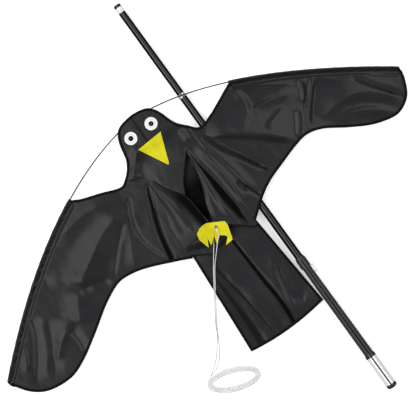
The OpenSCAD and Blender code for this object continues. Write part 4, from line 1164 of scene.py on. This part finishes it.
def sail_finish(name, dark, light, rough):
    """Ripstop: base colour and roughness vary with the grid and with broad patches of wear.

    The shade attribute mixes in a near-black matte cloth as painted shade: in the pocket, behind the flaps,
    along the hem and in the creases."""
    finish = Finish(name)
    uv, where = finish.cloth_uv(), finish.place()
    grid = ripstop(uv, 14)
    patch = finish.noise(where, 9, 4)
    tone = (grid * 0.15 + patch * 0.85).between(0.25, 0.75)
    height = grid * 0.5 + weave(uv) * 0.04 + finish.noise(where, 120, 2) * 0.3
    normal = finish.bump(height, 0.14 * MM, 0.5)
    coated = finish.coat(
        Base_Color=finish.blend(tone, dark, light), Roughness=patch * 0.12 + (rough - 0.06) + grid * 0.1,
        Normal=normal, Specular=0.17,
    )
    # Painted shade: a near-black matte cloth, mixed in by the attribute.
    painted_matte = finish.coat(
        Base_Color=finish.blend(tone, grey(0.0012), grey(0.0026)), Roughness=patch * 0.1 + 0.7,
        Normal=normal, Specular=0.05,
    )
    return finish.surface(finish.layered(finish.shade_and_dark_marks().between(0.05, 0.95), coated, painted_matte))


sail_cloth = sail_finish("sail_cloth", dark=grey(0.018, 0.09), light=grey(0.028, 0.09), rough=0.25)
dress(sail_cloth, "sail_cloth", left_sail, right_sail, body_sail, tail_sail, left_flap, right_flap)

# %% [markdown]
# The sleeves are the same cloth, doubled, with two rows of stitches along the hem. The tape is a ribbed
# woven band, blacker and duller than the sail, sewn with one row. Modelled thread would be far too many
# faces, so stitches are dashes along the UV's run.

# %% Sleeve cloth and tape
STITCH, STITCH_W = 3.2 * MM, 0.45 * MM
SLEEVE_ROWS, TAPE_ROW, TAPE_RIB = (38.4 * MM, 34.2 * MM), 15.2 * MM, 0.9 * MM


def stitches(uv, row):
    """1 on dashes along a row at the girth v = row."""
    dash = stripe(uv.axis(0), STITCH, 1).between(0.3, 0.45)
    return dash * (1 - ((uv.axis(1) - row).math("ABSOLUTE")).between(STITCH_W * 0.6, STITCH_W))


def sleeve_finish(name):
    """Doubled ripstop with a stitch row at the hem's edge and one a few millimetres inside it."""
    finish = Finish(name)
    uv = finish.cloth_uv()
    rib = ripstop(uv, 12)
    stitches_and_hem_shade = stitches(uv, SLEEVE_ROWS[0]).math("MAXIMUM", stitches(uv, SLEEVE_ROWS[1]))
    wear = finish.noise(finish.place(), 14, 4)
    tone = (rib * 0.4 + wear * 0.5 + stitches_and_hem_shade * 0.3).between(0.1, 0.9)
    return finish.surface(
        Base_Color=finish.blend(tone, grey(0.005), grey(0.01)), Roughness=wear * 0.14 + 0.34,
        Normal=finish.bump(rib * 0.4 - stitches_and_hem_shade + wear * 0.6, 0.3 * MM, 0.5), Specular=0.28,
    )


def tape_finish(name):
    """Woven tape: ribs across its run, a stitch row near the panel and patches of wear."""
    finish = Finish(name)
    uv = finish.cloth_uv()
    ribs = stripe(uv.axis(0), TAPE_RIB, 1)
    stitches_and_hem_shade = stitches(uv, TAPE_ROW)
    wear = finish.noise(finish.place(), 40, 4)
    tone = (ribs * 0.25 + wear * 0.6 + stitches_and_hem_shade * 0.4).between(0.15, 0.95)
    return finish.surface(
        Base_Color=finish.blend(tone, grey(0.002), grey(0.005)), Roughness=wear * 0.2 + 0.6,
        Normal=finish.bump(ribs * 0.5 - stitches_and_hem_shade, 0.25 * MM, 0.6), Specular=0.1,
    )


dress(sleeve_finish("sleeve_cloth"), "sleeve_cloth", left_casing, right_casing)
dress(tape_finish("edge_tape"), "edge_tape", left_binding, right_binding, head_binding, tail_binding)

# %% [markdown]
# The yellow pieces are the same weave in a strong yellow, with faint darker patches, painted shade in the
# beak's crease, a dark line at its seam and a darker left side on the claws.
# The eyes are white coated cloth with a pressed ring, and the pupils are black with a small pale centre.
# Rings and centre could be pieces of their own, but the discs' UV gives the radius, so they are painted.

# %% Face and claw finishes
def yellow_finish(name, bright, soiled_and_shaded):
    """Yellow coated cloth: fine weave, faint patches, a soft gloss, and dark lines by the attribute: the beak
    crease's painted shade, its seam, and the claws' darker left side.
    """
    finish = Finish(name)
    darkening = finish.noise(finish.place(), 60, 5)
    share = darkening.between(0.35, 0.8) * 0.5 + finish.shade_and_dark_marks() * 0.5
    return finish.surface(
        Base_Color=finish.blend(share, bright, soiled_and_shaded), Roughness=darkening * 0.15 + 0.42,
        Normal=finish.bump(weave(finish.cloth_uv()) + darkening, 0.12 * MM, 0.4), Specular=0.12,
    )


def eye_finish(name):
    """White disc: the radius, in the UV, paints a faint grey ring and a greyer rim."""
    finish = Finish(name)
    r = finish.cloth_uv().axis(0)
    ring = r.between(0.5, 0.56) * (1 - r.between(0.72, 0.78))
    darkening = finish.noise(finish.place(), 90, 4) * 0.25 + r.between(0.93, 1.0) * 0.3 + ring * 0.2
    return finish.surface(
        Base_Color=finish.blend(darkening.between(0.05, 0.9), (0.92, 0.925, 0.93, 1), (0.6, 0.63, 0.67, 1)),
        Roughness=darkening * 0.2 + 0.4, Normal=finish.bump(1 - ring, 0.25 * MM, 0.6), Specular=0.4,
    )


def pupil_finish(name):
    """Black pupil: gloss with a small pale point in the middle."""
    finish = Finish(name)
    point = 1 - finish.cloth_uv().axis(0).between(0.12, 0.2)
    haze = finish.noise(finish.place(), 240, 3)
    return finish.surface(
        Base_Color=finish.blend(point, grey(0.003), grey(0.3)), Roughness=haze * 0.2 + 0.35,
        Normal=finish.bump(haze, 0.05 * MM, 0.4), Specular=0.08,
    )


yellow = yellow_finish("yellow_cloth", bright=(0.78, 0.72, 0.014, 1), soiled_and_shaded=(0.54, 0.47, 0.006, 1))
dress(yellow, "yellow_cloth", beak_patch, front_claw_sheet, back_claw_sheet)
dress(eye_finish("eye_white"), "eye_white", eye_patches)
dress(pupil_finish("pupil_black"), "trim_black", pupil_patches)

# %% [markdown]
# The pole's outer section is lacquered black to a high gloss, and the handle's plastics and grip are satin.
# One plain gloss would mirror the pale table on the flanks and look grey there, so the gloss gives way to a
# matte side, which on the handle and grip is painted lighter as a painted reflection, and fine grain and
# drifting roughness keep the reflections from looking like glass.

# %% Pole finishes
WOUND_PITCH, CROSS_PITCH = 6 * MM, 9 * MM
THIN_FLANK = (0.9, 1.0)


def gloss_finish(name, level, rough, grain, specular=0.5, coat=0.0, flank=THIN_FLANK, side=0.0):
    """Black plastic or lacquer: streaks along the pole drift the roughness, and fine grain bumps it.

    Towards the flanks the gloss gives way to a matte side, lighter by side: a painted reflection."""
    finish = Finish(name)
    where = finish.place()
    streak = finish.noise(where, 60, 4, (1, 0.06, 1))
    fine = finish.noise(where, 900, 2)
    dust = finish.noise(where, 220, 5).between(0.62, 0.8)
    colour = finish.blend(dust, grey(level), grey(level * 2.2))
    normal = finish.bump(fine + streak * 0.4, grain * MM, 0.4)
    shiny = finish.coat(
        Base_Color=colour, Roughness=streak * 0.08 + (rough - 0.04) + dust * 0.08, Normal=normal,
        Specular=specular, Coat_Weight=coat, Coat_Roughness=0.05,
    )
    # Painted reflection: the matte flanks are lighter by side.
    shade = finish.blend(dust, grey(level + side), grey(level * 2.2 + side))
    painted_matte = finish.coat(Base_Color=shade, Roughness=streak * 0.1 + 0.6, Normal=normal, Specular=0.06)
    return finish.surface(finish.layered(finish.flanks(*flank), shiny, painted_matte))


def wound_finish(name):
    """Bare wound glass fibre: crossing helical bands round the pole's axis in two dark greys."""
    finish = Finish(name)
    where = finish.place()
    x, y, z = (where.axis(i) for i in range(3))
    angle = (z - POLE_Z * MM).math("ARCTAN2", x - POLE_X * MM)
    band = stripe(y + angle * (WOUND_PITCH / (2 * math.pi)), WOUND_PITCH, 2)
    cross = stripe(y - angle * (CROSS_PITCH / (2 * math.pi)), CROSS_PITCH, 4)
    haze = finish.noise(where, 70, 4)
    return finish.surface(
        Base_Color=finish.blend(band * 0.5 + cross * 0.3 + haze * 0.2, grey(0.018), grey(0.045)),
        Roughness=haze * 0.15 + 0.25, Normal=finish.bump(band + cross * 0.6, 0.12 * MM, 0.4), Specular=0.5,
    )


GLOSSES = {
    "pole_black": dict(level=0.002, rough=0.08, grain=0.006, specular=0.3, coat=0.75, flank=(0.03, 0.09)),
    "handle_black": dict(
        level=0.005, rough=0.3, grain=0.05, specular=0.4, coat=0.2, flank=(0.06, 0.2), side=0.03),
    "grip": dict(
        level=0.004, rough=0.22, grain=0.03, specular=0.35, coat=0.25, flank=(0.03, 0.1), side=0.036),
    "trim_black": dict(level=0.004, rough=0.5, grain=0.03, specular=0.1),
    "cushion_rubber": dict(level=0.02, rough=0.8, grain=0.2),
}
for slot, pieces in (
    ("pole_black", cad("outer_section", "tip_knob")),
    ("handle_black", cad("butt_plug", "flare_ring", "grip_collar")),
    ("grip", cad("grip_sleeve")),
    ("trim_black", cad("rod_end_caps", "tip_rivets")),
    ("cushion_rubber", cad("butt_cushion")),
):
    dress(gloss_finish(slot, **GLOSSES[slot]), slot, *pieces)
dress(wound_finish("inner_fibre"), "inner_fibre", *cad("second_section", "third_section", "tip_section"))

# %% [markdown]
# The foot sleeve is chromed, the mouth band is satin aluminium, the eyelet and the clip are plated, and the
# joiner is brass. A bare mirror would show the studio's dark sides as hard lines, so all are one recipe: a
# metal with faint turning rings across the pole, drifting roughness, a pale satin haze, and on its flanks a
# pale matte that is a painted reflection.

# %% Metals
def metal_finish(name, colour, rough, ring_pitch, depth, haze, flank=THIN_FLANK):
    """Turned metal: fine rings along the pole's direction, smudges in the roughness.

    haze mixes in the plain pale matte that polished plating keeps from fine scratches. Towards the flanks
    that matte grows almost to full, as a painted reflection."""
    finish = Finish(name)
    where = finish.place()
    rings = stripe(where.axis(1), ring_pitch * MM, 1)
    smudge = finish.noise(where, 45, 5)
    worn = tuple(0.86 * c for c in colour)
    tone = finish.blend(smudge.between(0.35, 0.8), (*colour, 1), (*worn, 1))
    normal = finish.bump(rings, depth * MM, 0.3)
    roughness = smudge * 0.12 + (rough - 0.06)
    bright = finish.coat(Base_Color=tone, Metallic=1.0, Roughness=roughness, Normal=normal)
    satin_and_flank_reflection = finish.add("ShaderNodeBsdfDiffuse", None, {"Color": grey(0.78), "Normal": normal})
    # Satin haze, and on the flanks a painted reflection.
    share = (smudge * 0.1 + (haze - 0.05)).math("MAXIMUM", finish.flanks(*flank) * 0.95)
    return finish.surface(finish.layered(share, bright, satin_and_flank_reflection))


METALS = {
    "foot_chrome": dict(
        colour=(0.6, 0.6, 0.62), rough=0.08, ring_pitch=0.6, depth=0.001, haze=0.06, flank=(0.05, 0.11)),
    "bright_band": dict(colour=(0.86, 0.86, 0.87), rough=0.4, ring_pitch=0.8, depth=0.01, haze=0.72),
    "eyelet_metal": dict(colour=(0.72, 0.72, 0.71), rough=0.25, ring_pitch=0.5, depth=0.01, haze=0.1),
    "joiner_brass": dict(colour=(0.7, 0.52, 0.24), rough=0.3, ring_pitch=0.5, depth=0.01, haze=0.1),
}
for slot, pieces in (
    ("foot_chrome", cad("butt_sleeve")),
    ("bright_band", cad("mouth_band")),
    ("eyelet_metal", cad("eyelet", "eyelet_washer", "rod_clip")),
    ("joiner_brass", cad("rod_joiner")),
):
    dress(metal_finish(slot, **METALS[slot]), slot, *pieces)

# %% [markdown]
# The bow rods are drawn glass fibre, the small keeper on the grip is clear plastic, and the line is clear
# nylon. Glass with refraction would be true for the nylon, but so thin a line renders as noise, so the line
# is a pale plastic with some see-through: thin in the coil, and denser where single strands run. The coil's
# thinness is painted light against its own shadows, and the run's grey on the table is painted shade.

# %% Rods, keeper and line
RUN_TOP, RUN_FOOT, RUN_BLEND = -0.132, -0.318, 0.012


def rod_finish(name):
    """Drawn glass fibre: long fibres along the rod in two greys."""
    finish = Finish(name)
    fibre = finish.noise(finish.cloth_uv(), 900, 3, (0.02, 1, 1))
    return finish.surface(
        Base_Color=finish.blend(fibre, grey(0.03), grey(0.07)), Roughness=fibre * 0.2 + 0.35,
        Normal=finish.bump(fibre, 0.08 * MM, 0.4), Specular=0.4,
    )


def clear_finish(name, level, see_through, rough):
    """Clear or frosted plastic: haze in the colour and the roughness, partly see-through."""
    finish = Finish(name)
    haze = finish.noise(finish.place(), 320, 4)
    return finish.surface(
        Base_Color=finish.blend(haze, grey(level), grey(level * 0.95)), Roughness=haze * 0.2 + rough,
        Normal=finish.bump(haze, 0.05 * MM, 0.4), Transmission_Weight=see_through, IOR=1.52,
        Alpha=haze * 0.1 + 0.95,
    )


def line_finish(name, level, run_level, alpha, run_alpha):
    """Clear nylon: pale and thin in the coil, as painted light against the coil's own shadows, denser along
    the strands, and greyer on their run on the table, as painted shade.

    The coil, the run and the stretch over the tail follow one another along the kite."""
    finish = Finish(name)
    where = finish.place()
    y = where.axis(1)
    haze = finish.noise(where, 40, 2)
    # The coil is thinned as painted light, and the run greyed as painted shade.
    coiled = 1 - y.between(RUN_FOOT, RUN_FOOT + RUN_BLEND)
    run = 1 - y.between(RUN_TOP - RUN_BLEND, RUN_TOP) - coiled
    return finish.surface(
        Base_Color=finish.blend(run, grey(level), grey(run_level)), Roughness=haze * 0.2 + 0.25,
        Normal=finish.bump(haze, 0.05 * MM, 0.4),
        Alpha=haze * 0.1 + (run_alpha - 0.05) - coiled * (run_alpha - alpha),
    )


dress(rod_finish("rod_fibre"), "rod_fibre", left_bow, right_bow)
keeper_plastic = clear_finish("clear_plastic", level=0.8, see_through=0.35, rough=0.2)
dress(keeper_plastic, "clear_plastic", *cad("line_keeper"))
line_nylon = line_finish("line_nylon", level=0.92, run_level=0.6, alpha=0.56, run_alpha=0.85)
dress(line_nylon, "line_nylon", *strands)

# %% [markdown]
# The CAD nodes that the new pieces stand for are hidden.


def declare(node):
    """Hides the CAD node that a cloth piece replaces."""
    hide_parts(node)


for piece, node in (
    (left_bow, "left_rod"), (right_bow, "right_rod"),
    (left_casing, "left_sleeve"), (right_casing, "right_sleeve"),
    (left_binding, "left_wing_tape"), (right_binding, "right_wing_tape"),
    (head_binding, "head_tape"), (tail_binding, "tail_tape"),
    (beak_patch, "beak"), (eye_patches, "eye_discs"), (pupil_patches, "pupils"),
):
    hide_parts(node)
declare("left_wing")
declare("right_wing")
declare("body_panel")
declare("tail_panel")
declare("left_keel")
declare("right_keel")
declare("front_claws")
declare("back_claws")

# %% [markdown]
# The table is a pale sheet under soft studio light. One lamp overhead would leave the gloss pole a single
# white line, so two long soft boxes stand to its left and right, and the pole shows two light stripes with
# a dark line between them. The left box stands a little towards the head, which shades the folds. A glow
# that only the camera, mirrors and clear pieces see makes the table white, and it keeps its shadows.

# %% Light and table
LAMP_HEIGHT = 6.0
HALF_TABLE, TABLE_DROP, TABLE_LEVEL, TABLE_GLOW = 6.0, 0.0004, 0.93, 0.5
STUDIO_STRENGTH = 0.12


def soft_box(name, side, turn, size, power):
    """A rectangular lamp to one side of the kite, aimed at it and turned about the vertical."""
    data = bpy.data.lights.new(name, "AREA")
    data.shape = "RECTANGLE"
    data.size, data.size_y = size
    data.energy = power
    lamp = bpy.data.objects.new(name, data)
    lamp.location = (side * math.cos(turn), side * math.sin(turn), LAMP_HEIGHT)
    lamp.rotation_euler = (0, math.atan2(side, LAMP_HEIGHT), turn)
    lamp.visible_camera = False
    bpy.context.collection.objects.link(lamp)
    print(name, size, "m,", power, "W")


soft_box("left_box", side=-4.0, turn=math.radians(-25), size=(4.0, 9.0), power=430)
soft_box("right_box", side=4.4, turn=0.0, size=(4.4, 9.0), power=310)

corners = [(x * HALF_TABLE, y * HALF_TABLE, -TABLE_DROP) for x, y in ((-1, -1), (1, -1), (1, 1), (-1, 1))]
floor_mesh = bpy.data.meshes.new("table")
floor_mesh.from_pydata(corners, [], [(0, 1, 2, 3)])
table = bpy.data.objects.new("table", floor_mesh)
bpy.context.collection.objects.link(table)

paper = Finish("table_paper")
seen = paper.add("ShaderNodeLightPath", out="Is Camera Ray")
mirrored = paper.add("ShaderNodeLightPath", out="Is Glossy Ray")
through_glass = paper.add("ShaderNodeLightPath", out="Is Transmission Ray")
glow = seen.math("MAXIMUM", mirrored).math("MAXIMUM", through_glass) * TABLE_GLOW
lit = paper.add("ShaderNodeBsdfDiffuse", None, {"Color": grey(TABLE_LEVEL)})
shine = paper.add("ShaderNodeEmission", None, {"Color": grey(1.0), "Strength": glow})
floor_mesh.materials.append(paper.surface(paper.add("ShaderNodeAddShader", None, {0: lit, 1: shine})))

world = bpy.data.worlds.new("studio")
world.use_nodes = True
world.node_tree.nodes["Background"].inputs["Color"].default_value = grey(1.0)
world.node_tree.nodes["Background"].inputs["Strength"].default_value = STUDIO_STRENGTH
bpy.context.scene.world = world
print("table", 2 * HALF_TABLE, "m wide under studio light")

# %% [markdown]
# Last, the view layer is brought up to date. Cloth may stand a little proud of the CAD, and no more.

# %% Update
bpy.context.view_layer.update()
